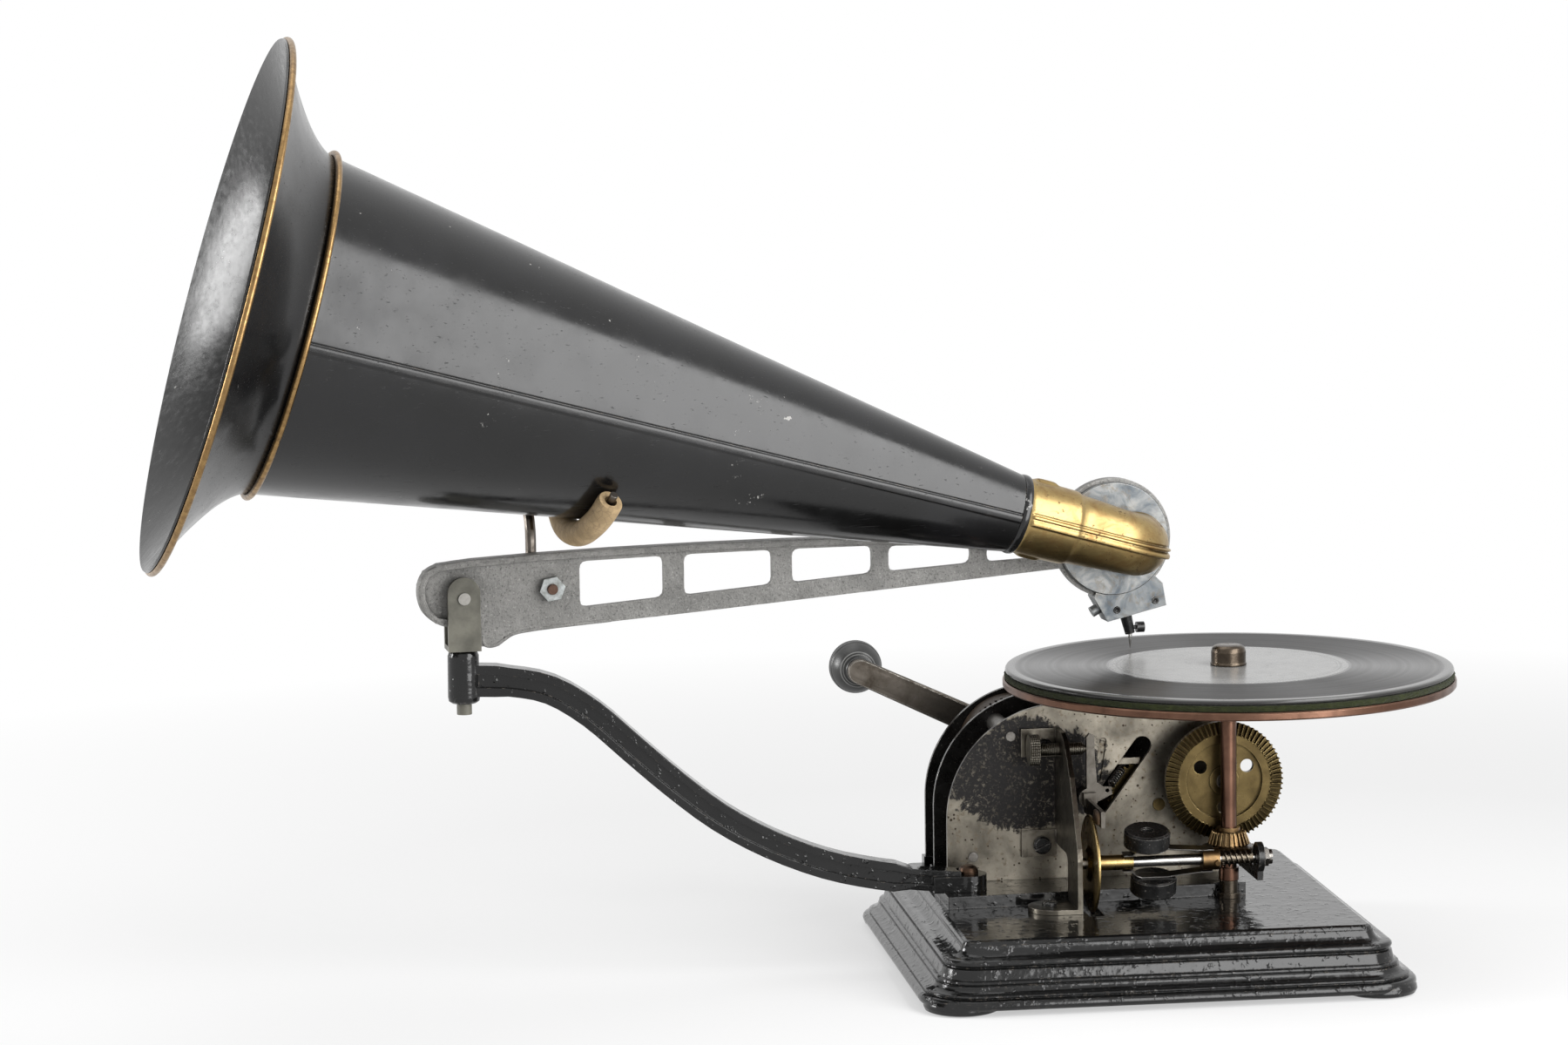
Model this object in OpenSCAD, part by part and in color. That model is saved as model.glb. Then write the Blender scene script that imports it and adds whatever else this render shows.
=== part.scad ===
// Small disc talking machine: an iron base, an open spring motor between three plates,
// a friction-disc governor, a seven-inch turntable, and a cast arm that carries a front-mounted horn.
// Units are millimetres. The origin is the centre of the base, on the surface it stands on.
// +X points to the turntable side, +Y points away from the front plate, +Z is up.

/* [Base casting] */
// Width of the flat top of the base, left to right
base_w = 158; // [150:1:170]
// Depth of the flat top of the base, front to back
base_d = 153; // [146:1:165]
// Height of the base top above the table
base_h = 26; // [24:0.5:30]
// Thickness of the base top
base_top_t = 5; // [4:0.5:7]
// How far the moulded skirt spreads beyond the top on each side
skirt_spread = 19; // [15:0.5:22]
// Radius of the corners of the base top
base_corner = 3; // [2:0.5:6]
// Radius of the four corner feet
foot_r = 15; // [12:0.5:16]
// Height of the cast bars that carry the motor plates
seat_bar_h = 5; // [4:0.5:7]

/* [Turntable] */
// Distance of the spindle to the right of the base centre
spindle_x = 37.4; // [35:0.1:40]
// Distance of the spindle behind the base centre
spindle_y = -15.7; // [-17:0.1:-15]
// Diameter of the spindle
spindle_d = 6.3; // [5:0.1:7]
// Height of the underside of the turntable
table_z = 112.4; // [110:0.2:116]
// Diameter of the turntable
table_d = 180; // [170:1:184]
// Thickness of the turntable rim
table_t = 3.2; // [2:0.2:5]
// Thickness of the felt on the turntable
felt_t = 2.6; // [1:0.2:4]
// How far the edge of the record stays inside the edge of the turntable
record_inset = 1; // [0:0.5:8]
// Thickness of the record
record_t = 2; // [1.5:0.1:3]
// Diameter of the nut that holds the record
nut_d = 14.4; // [12:0.2:18]
// Height of that nut
nut_h = 8.2; // [6:0.2:12]

/* [Motor frame] */
// Thickness of each motor plate
plate_t = 2; // [1.5:0.1:2.5]
// Distance of the front face of the front plate behind the base centre
plate_y = 10; // [9:0.5:12]
// Clear space between the front and the middle plate
front_bay = 32; // [30:0.5:34]
// Clear space between the middle and the back plate
back_bay = 20; // [18:0.5:22]
// Radius of the round left shoulder of the plates
plate_r = 46.5; // [44:0.5:48]
// Height of the centre of that shoulder
plate_arc_z = 56; // [54:0.5:58]
// Distance of the centre of that shoulder to the left of the base centre
plate_arc_left = 26; // [24:0.5:28]
// Distance of the right edge of the plates from the base centre
plate_right = 41; // [40:0.5:44]
// Diameter of the pillars between the plates
pillar_d = 8; // [6:0.5:9]

/* [Gear train] */
// Height of the shaft that carries the large bevel gear
bevel_z = 72; // [71:0.2:74]
// Teeth on the large bevel gear
bevel_teeth = 72; // [60:1:84]
// Teeth on the bevel pinion of the spindle
bevel_pinion_teeth = 24; // [20:1:28]
// Pitch radius of the large bevel gear
bevel_r = 24; // [22:0.2:24.4]
// Length of the bevel teeth, as a share of the pitch cone
bevel_face = 0.21; // [0.15:0.01:0.25]
// Tooth module of the flat gears
gear_module = 0.8; // [0.78:0.01:0.82]
// Diameter of the arbors in the plates
arbor_d = 5; // [4:0.1:6]
// Outside diameter of the spring barrel
barrel_d = 44; // [40:0.5:45]

/* [Governor] */
// Distance of the governor shaft in front of the spindle
governor_ahead = 13.3; // [13:0.1:14]
// Height of the governor shaft
governor_z = 44.6; // [44.4:0.1:46]
// Diameter of the governor shaft
governor_shaft_d = 4.4; // [3.5:0.1:5]
// Diameter of the friction disc
friction_disc_d = 38.6; // [34:0.2:39]
// Diameter of each governor weight
weight_d = 18.4; // [16:0.2:19]
// Thickness of each governor weight
weight_t = 7; // [5:0.2:8]
// Outside radius of the worm
worm_r = 3.5; // [3:0.1:3.8]
// Travel of the friction disc along its shaft
disc_travel = 1.2; // [0.6:0.1:1.2]
// Gap between the friction disc and the felt pad
pad_gap = 1.5; // [0.6:0.1:1.6]

/* [Crank] */
// Distance of the crank arm behind the base centre
crank_y = 98; // [97:0.5:104]
// Length of the crank, from the arbor to the knob
crank_len = 64; // [55:0.5:64]
// Width of the crank arm
crank_w = 10; // [8:0.5:12]
// Thickness of the crank arm
crank_t = 4; // [3:0.5:5]
// Diameter of the crank knob
knob_d = 22.5; // [18:0.5:24]

/* [Arm and post] */
// Distance of the swivel post to the left of the base centre
post_left = 266; // [260:1:272]
// Distance of the swivel post behind the base centre
post_y = 2.9; // [2:0.1:4]
// Turn of the carrier arm in plan when the needle plays
arm_yaw = 5; // [4.5:0.1:5.5]
// Height of the tilting pin
tilt_z = 154.5; // [153:0.5:156]
// Height of the top of the post boss
boss_top_z = 133.2; // [132:0.2:134]
// Height of the post boss
boss_h = 20.8; // [18:0.2:24]
// Radius of the post boss
boss_r = 6.2; // [6:0.1:8]
// Diameter of the swivel pin
swivel_pin_d = 6; // [5:0.1:6.4]
// Thickness of the web of the carrier arm
web_t = 3; // [2.5:0.1:4]
// Width of the flange round the carrier arm
flange_w = 8; // [6:0.5:8]
// Thickness of the legs of the swivel bracket
leg_t = 2; // [1.5:0.1:2.5]
// Width of the legs of the swivel bracket
leg_w = 12.9; // [12:0.1:14]

/* [Horn] */
// Rise of the horn axis towards the mouth
horn_rise = 16.3; // [16:0.1:16.6]
// Radius of the narrow end of the horn cone
throat_r = 15.8; // [15.4:0.1:16]
// Radius of the wide end of the horn cone
cone_r = 66; // [64:0.5:67]
// Length of the horn cone
cone_len = 294; // [290:1:298]
// Radius of the horn mouth
mouth_r = 105; // [95:1:112]
// Length of the flared bell
bell_len = 33; // [28:0.5:38]
// Thickness of the sheet metal of the horn
sheet_t = 0.9; // [0.6:0.1:1.1]
// Radius of the tube of the elbow
elbow_r = 12.4; // [11.5:0.1:12.6]
// Bend radius of the elbow
elbow_bend = 13.6; // [13.4:0.1:14.2]

/* [Soundbox] */
// Outside diameter of the soundbox
soundbox_d = 46; // [44:0.5:48]
// Depth of the soundbox
soundbox_depth = 10.5; // [10:0.5:12]
// Thickness of the diaphragm
diaphragm_t = 0.4; // [0.3:0.1:0.6]
// Diameter of the needle
needle_d = 1.6; // [1.2:0.1:2]
// Clear height of the needle tip above the record
needle_gap = 0.3; // [0.2:0.05:0.5]

/* [Fits] */
// Radial clearance of a turning fit
run_fit = 0.08; // [0.05:0.01:0.1]
// Gap between faces of pieces that move past each other
face_gap = 0.3; // [0.2:0.05:0.4]
// Gap between pieces that are seated on each other
seat_gap = 0.05; // [0.02:0.01:0.1]

/* [Hidden] */
$fn = 64;
fine_fn = 32;

// Places worked out from the sizes above
seat_z = base_h + seat_bar_h;
middle_y = plate_y + plate_t + front_bay;
back_y = middle_y + plate_t + back_bay;
frame_end_y = back_y + plate_t;
plate_top = plate_arc_z + plate_r;
record_d = table_d - 2 * record_inset;
record_top = table_z + table_t + felt_t + record_t;
governor_y = spindle_y - governor_ahead;
bevel_pinion_r = bevel_r * bevel_pinion_teeth / bevel_teeth;
bevel_pitch_y = spindle_y + bevel_pinion_r;

// The gear train runs from the bevel shaft leftwards to the winding arbor
shaft_pinion_n = 18;
second_wheel_n = 47;
second_pinion_n = 16;
first_wheel_n = 50;
first_pinion_n = 12;
great_wheel_n = 58;
second_angle = 208;
first_angle = 171;
barrel_angle = 153;
function reach(a, b) = gear_module * (a + b) / 2;
function step(from, distance, angle) = from + distance * [cos(angle), sin(angle)];
shaft_c = [spindle_x, bevel_z];
second_c = step(shaft_c, reach(shaft_pinion_n, second_wheel_n), second_angle);
first_c = step(second_c, reach(second_pinion_n, first_wheel_n), first_angle);
barrel_c = step(first_c, reach(first_pinion_n, great_wheel_n), barrel_angle);
crank_angle = 154.6;
knob_c = step(barrel_c, crank_len, crank_angle);

// Gears along the depth of the motor
gear_t = 2.4;
barrel_y = middle_y + plate_t + 1;
barrel_len = back_bay - 2;
first_wheel_y = middle_y - 6;
second_wheel_y = plate_y + plate_t + 5;

// Arm frame: u runs from the post to the needle, n away from the viewer
throat_u = 218.5;
throat_z = 181.5;
horn_side = -20;
elbow_end_s = 58;
inlet = [8.5, 2];
box_u = throat_u + elbow_end_s * cos(horn_rise) - inlet[0];
box_z = throat_z - elbow_end_s * sin(horn_rise) + inlet[1];
box_n = horn_side + elbow_bend + 2.4;
box_turn = 16;
pin_r = 2.3;

// General helpers

// Turns a shape drawn in XY with height Z so that its height runs along +Y
module along_y(y) { translate([0, y, 0]) rotate([90, 0, 0]) mirror([0, 0, 1]) children(); }
// Turns a shape drawn in XY with height Z so that its height runs along +X
module along_x(x) { translate([x, 0, 0]) rotate([90, 0, 90]) children(); }
module rod(d, h) { cylinder(d = d, h = h); }
module tube(d_out, d_in, h) {
    difference() {
        cylinder(d = d_out, h = h);
        translate([0, 0, -1]) cylinder(d = d_in, h = h + 2);
    }
}
// Straight slot made of a bar and two discs. The bar is a hair narrower,
// so that its sides cross the discs and don't graze them
module true_slot(a, b, d) {
    run = b - a;
    bar = d - 0.02;
    translate(a) circle(d = d);
    translate(b) circle(d = d);
    translate(a) rotate(atan2(run[1], run[0])) translate([0, -bar / 2]) square([norm(run), bar]);
}
module at(c) { translate([c[0], 0, c[1]]) children(); }
module arm_frame() { translate([-post_left, post_y, 0]) rotate([0, 0, arm_yaw]) children(); }
module horn_frame() {
    arm_frame() translate([throat_u, horn_side, throat_z]) rotate([0, horn_rise - 90, 0]) children();
}
module soundbox_frame() { arm_frame() translate([box_u, box_n, box_z]) rotate([-90, 0, 0]) children(); }

function unit(v) = v / norm(v);
// Smooth curve through the given points, with even steps between each pair
function spline_point(p, i, t) =
    let (n = len(p) - 1,
         a = p[max(i - 1, 0)], b = p[i], c = p[min(i + 1, n)], d = p[min(i + 2, n)])
    0.5 * (2 * b + (c - a) * t + (2 * a - 5 * b + 4 * c - d) * t * t
        + (3 * b - a - 3 * c + d) * t * t * t);
function spline(p, steps) = concat(
    [for (i = [0 : len(p) - 2]) for (k = [0 : steps - 1]) spline_point(p, i, k / steps)],
    [p[len(p) - 1]]);
function tangent(p, i) = unit(p[min(i + 1, len(p) - 1)] - p[max(i - 1, 0)]);
function ring(p, i, shape, side) =
    let (t = tangent(p, i), e = unit(side - (side * t) * t), f = cross(t, e))
    [for (s = shape) p[i] + s[0] * e + s[1] * f];
// Solid made by carrying a closed outline along a path; shapes holds one outline for each point
module sweep(path, shapes, side) {
    m = len(shapes[0]);
    last = len(path) - 1;
    points = [for (i = [0 : last]) each ring(path, i, shapes[i], side)];
    walls = [for (i = [0 : last - 1]) for (k = [0 : m - 1])
        let (a = i * m + k, b = i * m + (k + 1) % m) each [[a, a + m, b], [b, a + m, b + m]]];
    start = [[for (k = [0 : m - 1]) k]];
    end = [[for (k = [m - 1 : -1 : 0]) last * m + k]];
    polyhedron(points, concat(walls, start, end));
}
function round_outline(r, sides) = [for (k = [0 : sides - 1]) r * [cos(360 * k / sides), sin(360 * k / sides)]];

// Flat gear outline with straight-sided teeth; tooth zero points along +X
function gear_outline(teeth, m) = [for (i = [0 : teeth - 1]) for (c = [[-0.24, -1.05], [-0.12, 0.75], [0.12, 0.75], [0.24, -1.05]])
    let (a = 360 * (i + c[0]) / teeth, r = m * teeth / 2 + m * c[1]) r * [cos(a), sin(a)]];
module gear(teeth, m, h, turn) { linear_extrude(h) rotate(turn) polygon(gear_outline(teeth, m)); }
// Turn that puts a tooth, or the middle of a gap, of a gear towards the given direction
function tooth_to(angle) = angle;
function gap_to(angle, teeth) = angle + 180 / teeth;

// Toothed ring of a bevel gear. The pitch circle lies at z 0 and the apex above it.
module bevel_ring(teeth, r_pitch, apex, share, back, turn) {
    pitch_angle = atan2(r_pitch, apex);
    m = 2 * r_pitch / teeth;
    tip = 0.75 * m;
    root = 1.05 * m;
    marks = [[-0.25, -root], [-0.12, tip], [0.12, tip], [0.25, -root]];
    outer = [for (i = [0 : teeth - 1]) for (c = marks)
        let (a = 360 * (i + c[0]) / teeth + turn, r = r_pitch + c[1] * cos(pitch_angle))
        [r * cos(a), r * sin(a), c[1] * sin(pitch_angle)]];
    inner = [for (p = outer) [0, 0, apex] + (1 - share) * (p - [0, 0, apex])];
    r_back = r_pitch - root * cos(pitch_angle);
    r_bore = (1 - share) * (r_pitch - root * cos(pitch_angle)) - 0.01;
    back_outer = [for (i = [0 : teeth - 1]) let (a = 360 * i / teeth + turn) [r_back * cos(a), r_back * sin(a), -back]];
    back_inner = [for (i = [0 : teeth - 1]) let (a = 360 * i / teeth + turn) [r_bore * cos(a), r_bore * sin(a), -back]];
    n = 4 * teeth;
    o = 0;
    q = n;
    bo = 2 * n;
    bi = 2 * n + teeth;
    flanks = [for (k = [0 : n - 1]) let (l = (k + 1) % n) each [[o + k, q + k, o + l], [o + l, q + k, q + l]]];
    rims = [for (i = [0 : teeth - 1]) let (j = (i + 1) % teeth, k = 4 * i) each [
        [o + k, o + k + 1, bo + i], [o + k + 1, o + k + 2, bo + i], [o + k + 2, o + k + 3, bo + i],
        [o + k + 3, o + 4 * j, bo + j], [o + k + 3, bo + j, bo + i],
        [q + k + 1, q + k, bi + i], [q + k + 2, q + k + 1, bi + i], [q + k + 3, q + k + 2, bi + i],
        [q + 4 * j, q + k + 3, bi + j], [bi + j, q + k + 3, bi + i],
        [bo + i, bo + j, bi + i], [bo + j, bi + j, bi + i]]];
    polyhedron(concat(outer, inner, back_outer, back_inner), concat(flanks, rims));
}

// Base casting

// Outline of the moulded skirt: x is the distance beyond the top edge, y the height
function skirt_outline() =
    let (k = skirt_spread / 19, h = base_h)
    concat(
        [[-8, h], [0, h], [1.2 * k, h - 0.6], [1.8 * k, h - 1.8]],
        [for (a = [180 : 15 : 255]) [6.6 * k + 4.4 * k * cos(a), h - 1.9 + 4.2 * sin(a)]],
        [for (a = [90 : -30 : -90]) [8 * k + 1.5 * k * cos(a), h - 7.6 + 1.4 * sin(a)]],
        [[8.2 * k, h - 9.4], [9.4 * k, h - 9.8], [10.4 * k, h - 13.6]],
        [for (a = [90 : -45 : -90]) [11.2 * k + 0.9 * k * cos(a), h - 14.6 + 0.9 * sin(a)]],
        [for (a = [180 : 22.5 : 247.5]) [15.6 * k + 3.2 * k * cos(a), h - 15.6 + 2.4 * sin(a)]],
        [for (a = [80 : -40 : -80]) [15.4 * k + 1.1 * k * cos(a), h - 18.9 + 0.7 * sin(a)]],
        [for (a = [90 : -30 : -90]) [17.2 * k + 1.8 * k * cos(a), h - 21.9 + 2 * sin(a)]],
        [[13 * k, h - 24], [11.4 * k, h - 19], [7.4 * k, h - 16.5], [4.6 * k, h - 11],
         [2.6 * k, h - 8], [-3, h - base_top_t], [-8, h - base_top_t]]);
module skirt_run(length) {
    // Straight run of skirt: outline in XZ, carried along Y from zero
    along_y(0) linear_extrude(length) translate([base_corner, 0]) polygon(skirt_outline());
}
module skirt_corner() {
    rotate_extrude(angle = 90) translate([base_corner, 0])
        intersection() { polygon(skirt_outline()); translate([-base_corner, 0]) square([60, 60]); }
}
module skirt() {
    cx = base_w / 2 - base_corner;
    cy = base_d / 2 - base_corner;
    for (s = [0, 180]) rotate(s) {
        translate([cx, -cy, 0]) skirt_run(2 * cy);
        rotate(90) translate([cy, -cx, 0]) skirt_run(2 * cx);
        translate([cx, cy, 0]) skirt_corner();
    }
    translate([cx, -cy, 0]) rotate(-90) skirt_corner();
    translate([-cx, cy, 0]) rotate(90) skirt_corner();
}
module foot() {
    rotate_extrude() polygon([[0, 0], [foot_r - 2, 0], [foot_r - 0.6, 0.6], [foot_r, 2],
        [foot_r - 0.3, 3.6], [foot_r - 1.4, 5], [0, 5]]);
}
module seat_bar(y, d, x0, x1) { translate([x0, y, base_h - 0.5]) cube([x1 - x0, d, seat_bar_h + 0.5]); }
bar_left = -base_w / 2 + 2;
bar_right = plate_right + 4;
screw_x = -post_left + 199.5;
screw_y = post_y - 7.5;
bracket_y0 = governor_y - 9;
disc_x = spindle_x - 60;
module base_casting() {
    foot_out = 6;
    fx = base_w / 2 - base_corner + foot_out;
    fy = base_d / 2 - base_corner + foot_out;
    color([0.05, 0.05, 0.055]) difference() {
        union() {
            skirt();
            translate([4 - base_w / 2, 4 - base_d / 2, base_h - base_top_t])
                cube([base_w - 8, base_d - 8, base_top_t]);
            for (sx = [-1, 1]) for (sy = [-1, 1]) translate([sx * fx, sy * fy, 0]) foot();
            // Cast pad under the front plate; its front face runs slightly away to the right
            translate([0, 0, base_h - 0.5]) linear_extrude(seat_bar_h + 0.5)
                polygon([[bar_left, plate_y - 29], [bar_right, plate_y - 22.6],
                    [bar_right, plate_y + plate_t + 3], [bar_left, plate_y + plate_t + 3]]);
            seat_bar(middle_y - 2, plate_t + 4, -plate_arc_left - plate_r - 1, bar_right);
            seat_bar(back_y - 2, plate_t + 4, -plate_arc_left - plate_r - 1, bar_right);
        }
        translate([screw_x, screw_y, base_h - base_top_t - 1]) cylinder(d = 3.4, h = base_top_t + seat_bar_h + 2);
        translate([tab_screw_x, tab_screw_y, base_h - base_top_t - 1]) cylinder(d = 3.4, h = base_top_t + 2);
        for (x = frame_screw_x()) for (y = frame_screw_y())
            translate([x, y, base_h - base_top_t - 1]) cylinder(d = 3.4, h = base_top_t + seat_bar_h + 2);
        // Shallow well that the friction disc dips into, and the seat of the foot bearing
        translate([disc_x - 2, governor_y - 13, base_h - 2.5]) cube([disc_travel + 5, 28, seat_bar_h + 4]);
        translate([spindle_x, spindle_y, base_h - 3]) cylinder(d = 5, h = seat_bar_h + 4);
        translate([spindle_x, spindle_y, base_h]) cylinder(d = 11, h = seat_bar_h + 1);
    }
}
function frame_screw_x() = [-52, 26];
function frame_screw_y() = [plate_y + plate_t + front_bay / 2, middle_y + plate_t + back_bay / 2];

// Support arm

// Centre line of the swan-neck in its own plane: distance from the post, height
function neck_line() = [[4, 121.4], [18, 120.6], [34, 117], [50, 107], [66, 92.5], [82, 78.2], [100, 64],
    [120, 52.5], [142, 43.6], [163, 38.6], [182, 36], [196, 35]];
neck_curve = spline(neck_line(), 3);
neck_end = len(neck_curve) - 1;
function neck_depth(k) = k < 0.08 ? 12.4 : k > 0.85 ? 8.4 : 11.4;
// Line beside the centre line; share 1 is the upper edge and -1 the lower edge
function neck_edge(share) = [for (i = [0 : neck_end]) let (d = tangent(neck_curve, i))
    neck_curve[i] + share * neck_depth(i / neck_end) / 2 * [-d[1], d[0]]];
function closed(a, b) = concat(a, [for (i = [len(b) - 1 : -1 : 0]) b[i]]);
neck_yaw = atan2(screw_y - post_y, 199.5);
module support_arm() {
    color([0.05, 0.05, 0.055]) difference() {
        translate([-post_left, post_y, 0]) union() {
            translate([0, 0, boss_top_z - boss_h]) rotate_extrude() polygon([[0, 0], [boss_r - 1.2, 0],
                [boss_r - 0.1, 0.8], [boss_r + 0.2, 2.4], [boss_r, boss_h - 2], [boss_r - 0.5, boss_h - 0.6],
                [boss_r - 1.3, boss_h], [0, boss_h]]);
            rotate(neck_yaw) {
                // Thin web between an upper and a lower flange
                along_y(-2.6) linear_extrude(5.2) polygon(closed(neck_edge(0.8), neck_edge(-0.8)));
                along_y(-4.4) linear_extrude(8.8) polygon(closed(neck_edge(1), neck_edge(0.42)));
                along_y(-4.4) linear_extrude(8.8) polygon(closed(neck_edge(-0.42), neck_edge(-1)));
                translate([199.5, 0, seat_z]) cylinder(d = 15, h = 6.5);
                translate([185, -7, seat_z]) cube([14.5, 14, 6.5]);
            }
        }
        translate([-post_left, post_y, boss_top_z - boss_h - 20])
            cylinder(d = swivel_pin_d + 2 * run_fit, h = boss_h + 40);
        translate([screw_x, screw_y, seat_z - 10]) cylinder(d = 3.4, h = 30);
        translate([screw_x, screw_y, seat_z + 6.5]) cylinder(d = 10, h = 20);
    }
}
// Round-headed screw with a slot across its head
module round_screw(d, head_d, head_h, length) {
    difference() {
        union() {
            cylinder(d = d, h = length);
            translate([0, 0, length]) rotate_extrude() polygon([[0, 0], [head_d / 2, 0], [head_d / 2, head_h * 0.35],
                [head_d * 0.42, head_h * 0.75], [head_d * 0.25, head_h], [0, head_h]]);
        }
        translate([-head_d, -0.4, length + head_h * 0.55]) cube([2 * head_d, 0.8, head_h]);
    }
}
module support_screw() {
    color([0.42, 0.28, 0.22]) translate([screw_x, screw_y, base_h - 1]) round_screw(3.3, 8, 3.4, seat_bar_h + 1 + 6.5);
}

// Motor frame

module plate_outline() {
    corner = 18;
    translate([-plate_arc_left, plate_arc_z]) intersection() {
        circle(r = plate_r);
        translate([-plate_r, 0]) square([plate_r, plate_r]);
    }
    translate([-plate_arc_left - plate_r, seat_z]) square([plate_r, plate_arc_z - seat_z]);
    translate([-plate_arc_left, seat_z]) square([plate_arc_left + plate_right - corner, plate_top - seat_z]);
    translate([plate_right - corner, seat_z]) square([corner, plate_top - corner - seat_z]);
    translate([plate_right - corner, plate_top - corner]) intersection() {
        circle(r = corner);
        square(corner);
    }
    translate(shaft_c) circle(r = 7);
}
module plate_body(y, bores) {
    along_y(y) linear_extrude(plate_t) difference() {
        plate_outline();
        for (b = bores) translate(b[0]) circle(d = b[1]);
    }
}
function arbor_bore() = arbor_d + 2 * run_fit;
front_pillar = [[-46.3, 89.8], [-62, 41], [31, 92], [31, 41]];
back_pillar = [[-4, 94], [-62, 41], [31, 92], [31, 41]];
pawl_c = step(barrel_c, 15, 62);
bracket_screw_c = [-34.2, 45.4];
bracket_top_c = [-33, 86];
slot_low = [-10.1, 60.2];
slot_high = [7.6, 84.2];
stud_c = [-16.6, 65.4];
pivot_foot_c = [spindle_x, 38];
module front_plate() {
    color([0.66, 0.64, 0.58]) {
        difference() {
            plate_body(plate_y, concat([[second_c, arbor_bore()], [shaft_c, arbor_bore()]],
                [[bracket_screw_c, 3.1], [bracket_top_c, 3.1], [stud_c, 3], [pivot_foot_c, 3.1]],
                [for (p = front_pillar) [p, 4]]));
            along_y(plate_y - 1) linear_extrude(plate_t + 2) true_slot(slot_low, slot_high, 7.6);
            along_y(plate_y - 1) linear_extrude(1.7) true_slot([-10.7, 71.7], [-8.5, 86.6], 2.8);
        }
        // Small bridge behind the slot that the brake spring hooks on
        at(spring_end()) translate([-5.5, plate_y + plate_t, 0.45]) cube([11, 1.4, 2.6]);
    }
}
module middle_plate() {
    color([0.1, 0.095, 0.09]) plate_body(middle_y, concat(
        [[first_c, arbor_bore()], [second_c, arbor_bore()], [shaft_c, arbor_bore()], [barrel_c, arbor_bore() + 2]],
        [for (p = front_pillar) [p, 4]], [[back_pillar[0], 4]]));
}
module back_plate() {
    color([0.1, 0.095, 0.09]) {
        plate_body(back_y, concat([[barrel_c, arbor_bore() + 2], [first_c, arbor_bore()], [pawl_c, 2.7]],
            [for (p = back_pillar) [p, 4]]));
        // Long bearing tube that carries the winding arbor out past the base
        at(barrel_c) along_y(cage_y) tube(winding_d + 7, winding_d + 2 * run_fit, crank_y - cage_y - 4);
        at(barrel_c) along_y(cage_y) tube(37, winding_d + 2, 2.5);
        for (a = cage_posts) at(step(barrel_c, 15, a)) along_y(frame_end_y - 0.5) rod(5, cage_y - frame_end_y + 1);
    }
}
// Pillar with a shoulder between two plates and a riveted end through each
module pillar(y0, y1) {
    along_y(y0 + seat_gap) rod(pillar_d, y1 - y0 - 2 * seat_gap);
    along_y(y0 - plate_t - 0.3) rod(3.9, plate_t + 1);
    along_y(y1 - 1) rod(3.9, plate_t + 1.3);
}
block_w = 10;
module foot_block(x, y0, y1) {
    difference() {
        translate([x - block_w / 2, y0 + seat_gap, seat_z]) cube([block_w, y1 - y0 - 2 * seat_gap, 7]);
        translate([x, (y0 + y1) / 2, seat_z - 1]) cylinder(d = 3.4, h = 9);
    }
}
module plate_pillars() {
    color([0.75, 0.74, 0.7]) {
        for (p = front_pillar) at(p) pillar(plate_y + plate_t, middle_y);
        at(back_pillar[0]) pillar(middle_y + plate_t, back_y);
        for (k = [1 : 3]) at(back_pillar[k]) {
            along_y(middle_y + plate_t + 0.4) rod(pillar_d, back_bay - 0.4 - seat_gap);
            along_y(back_y - 1) rod(3.9, plate_t + 1.3);
        }
        // Foot blocks that the screws from below the base pull down on the cast bars
        for (x = frame_screw_x()) {
            foot_block(x, plate_y + plate_t, middle_y);
            foot_block(x, middle_y + plate_t, back_y);
        }
    }
}
module plate_screws() {
    color([0.3, 0.29, 0.28]) for (x = frame_screw_x()) for (y = frame_screw_y())
        translate([x, y, base_h - base_top_t - 2.2]) {
            cylinder(d = 7, h = 2.15);
            cylinder(d = 3.2, h = seat_z + 6 - base_h + base_top_t + 2.2);
        }
}

// Governor bracket and pivots

wall_x = disc_x - 5.8;
wall_t = 2;
tab_screw_x = wall_x - 9.5;
tab_screw_y = governor_y + 1.5;
ear_y = plate_y - seat_gap - wall_t;
module governor_bracket() {
    color([0.7, 0.69, 0.64]) difference() {
        union() {
            // Upright wall, drawn in the YZ plane
            along_x(wall_x) linear_extrude(wall_t) polygon([
                [bracket_y0, base_h + seat_gap], [governor_y + 12, base_h + seat_gap], [governor_y + 12, 42.5],
                [governor_y + 13.5, 45], [governor_y + 16.5, 46], [ear_y + wall_t, 46], [ear_y + wall_t, 93],
                [-3.5, 93], [-8.8, 91], [-13.5, 87], [-21.8, 78], [bracket_y0 + 1, 52], [bracket_y0, 47]]);
            // Foot tab with a round end, lying on the base
            translate([0, 0, base_h + seat_gap]) linear_extrude(1.9) {
                translate([wall_x - 8, bracket_y0]) square([8.5, 21]);
                translate([wall_x - 7.5, bracket_y0 + 10.5]) circle(r = 10.5);
            }
            // Ears that lie on the front plate
            translate([wall_x - 14, ear_y, 46]) mirror([0, 0, 1]) translate([0, 0, -5.5]) cube([14.5, wall_t, 11]);
            translate([wall_x - 14, ear_y, 81.5]) cube([14.5, wall_t, 11.5]);
        }
        at(bracket_screw_c) along_y(ear_y - 1) cylinder(d = 3.2, h = wall_t + 2);
        at(bracket_top_c) along_y(ear_y - 1) cylinder(d = 3.2, h = wall_t + 2);
        translate([0, 0, speed_z]) translate([0, 0, 0]) along_x(wall_x - 1) cylinder(d = 5 + 2 * run_fit, h = wall_t + 2);
        translate([0, governor_y, governor_z]) along_x(wall_x - 1) cylinder(d = 2 + 2 * run_fit, h = wall_t + 2);
        translate([tab_screw_x, tab_screw_y, base_h - 1]) cylinder(d = 3.4, h = 4);
    }
}
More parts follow.
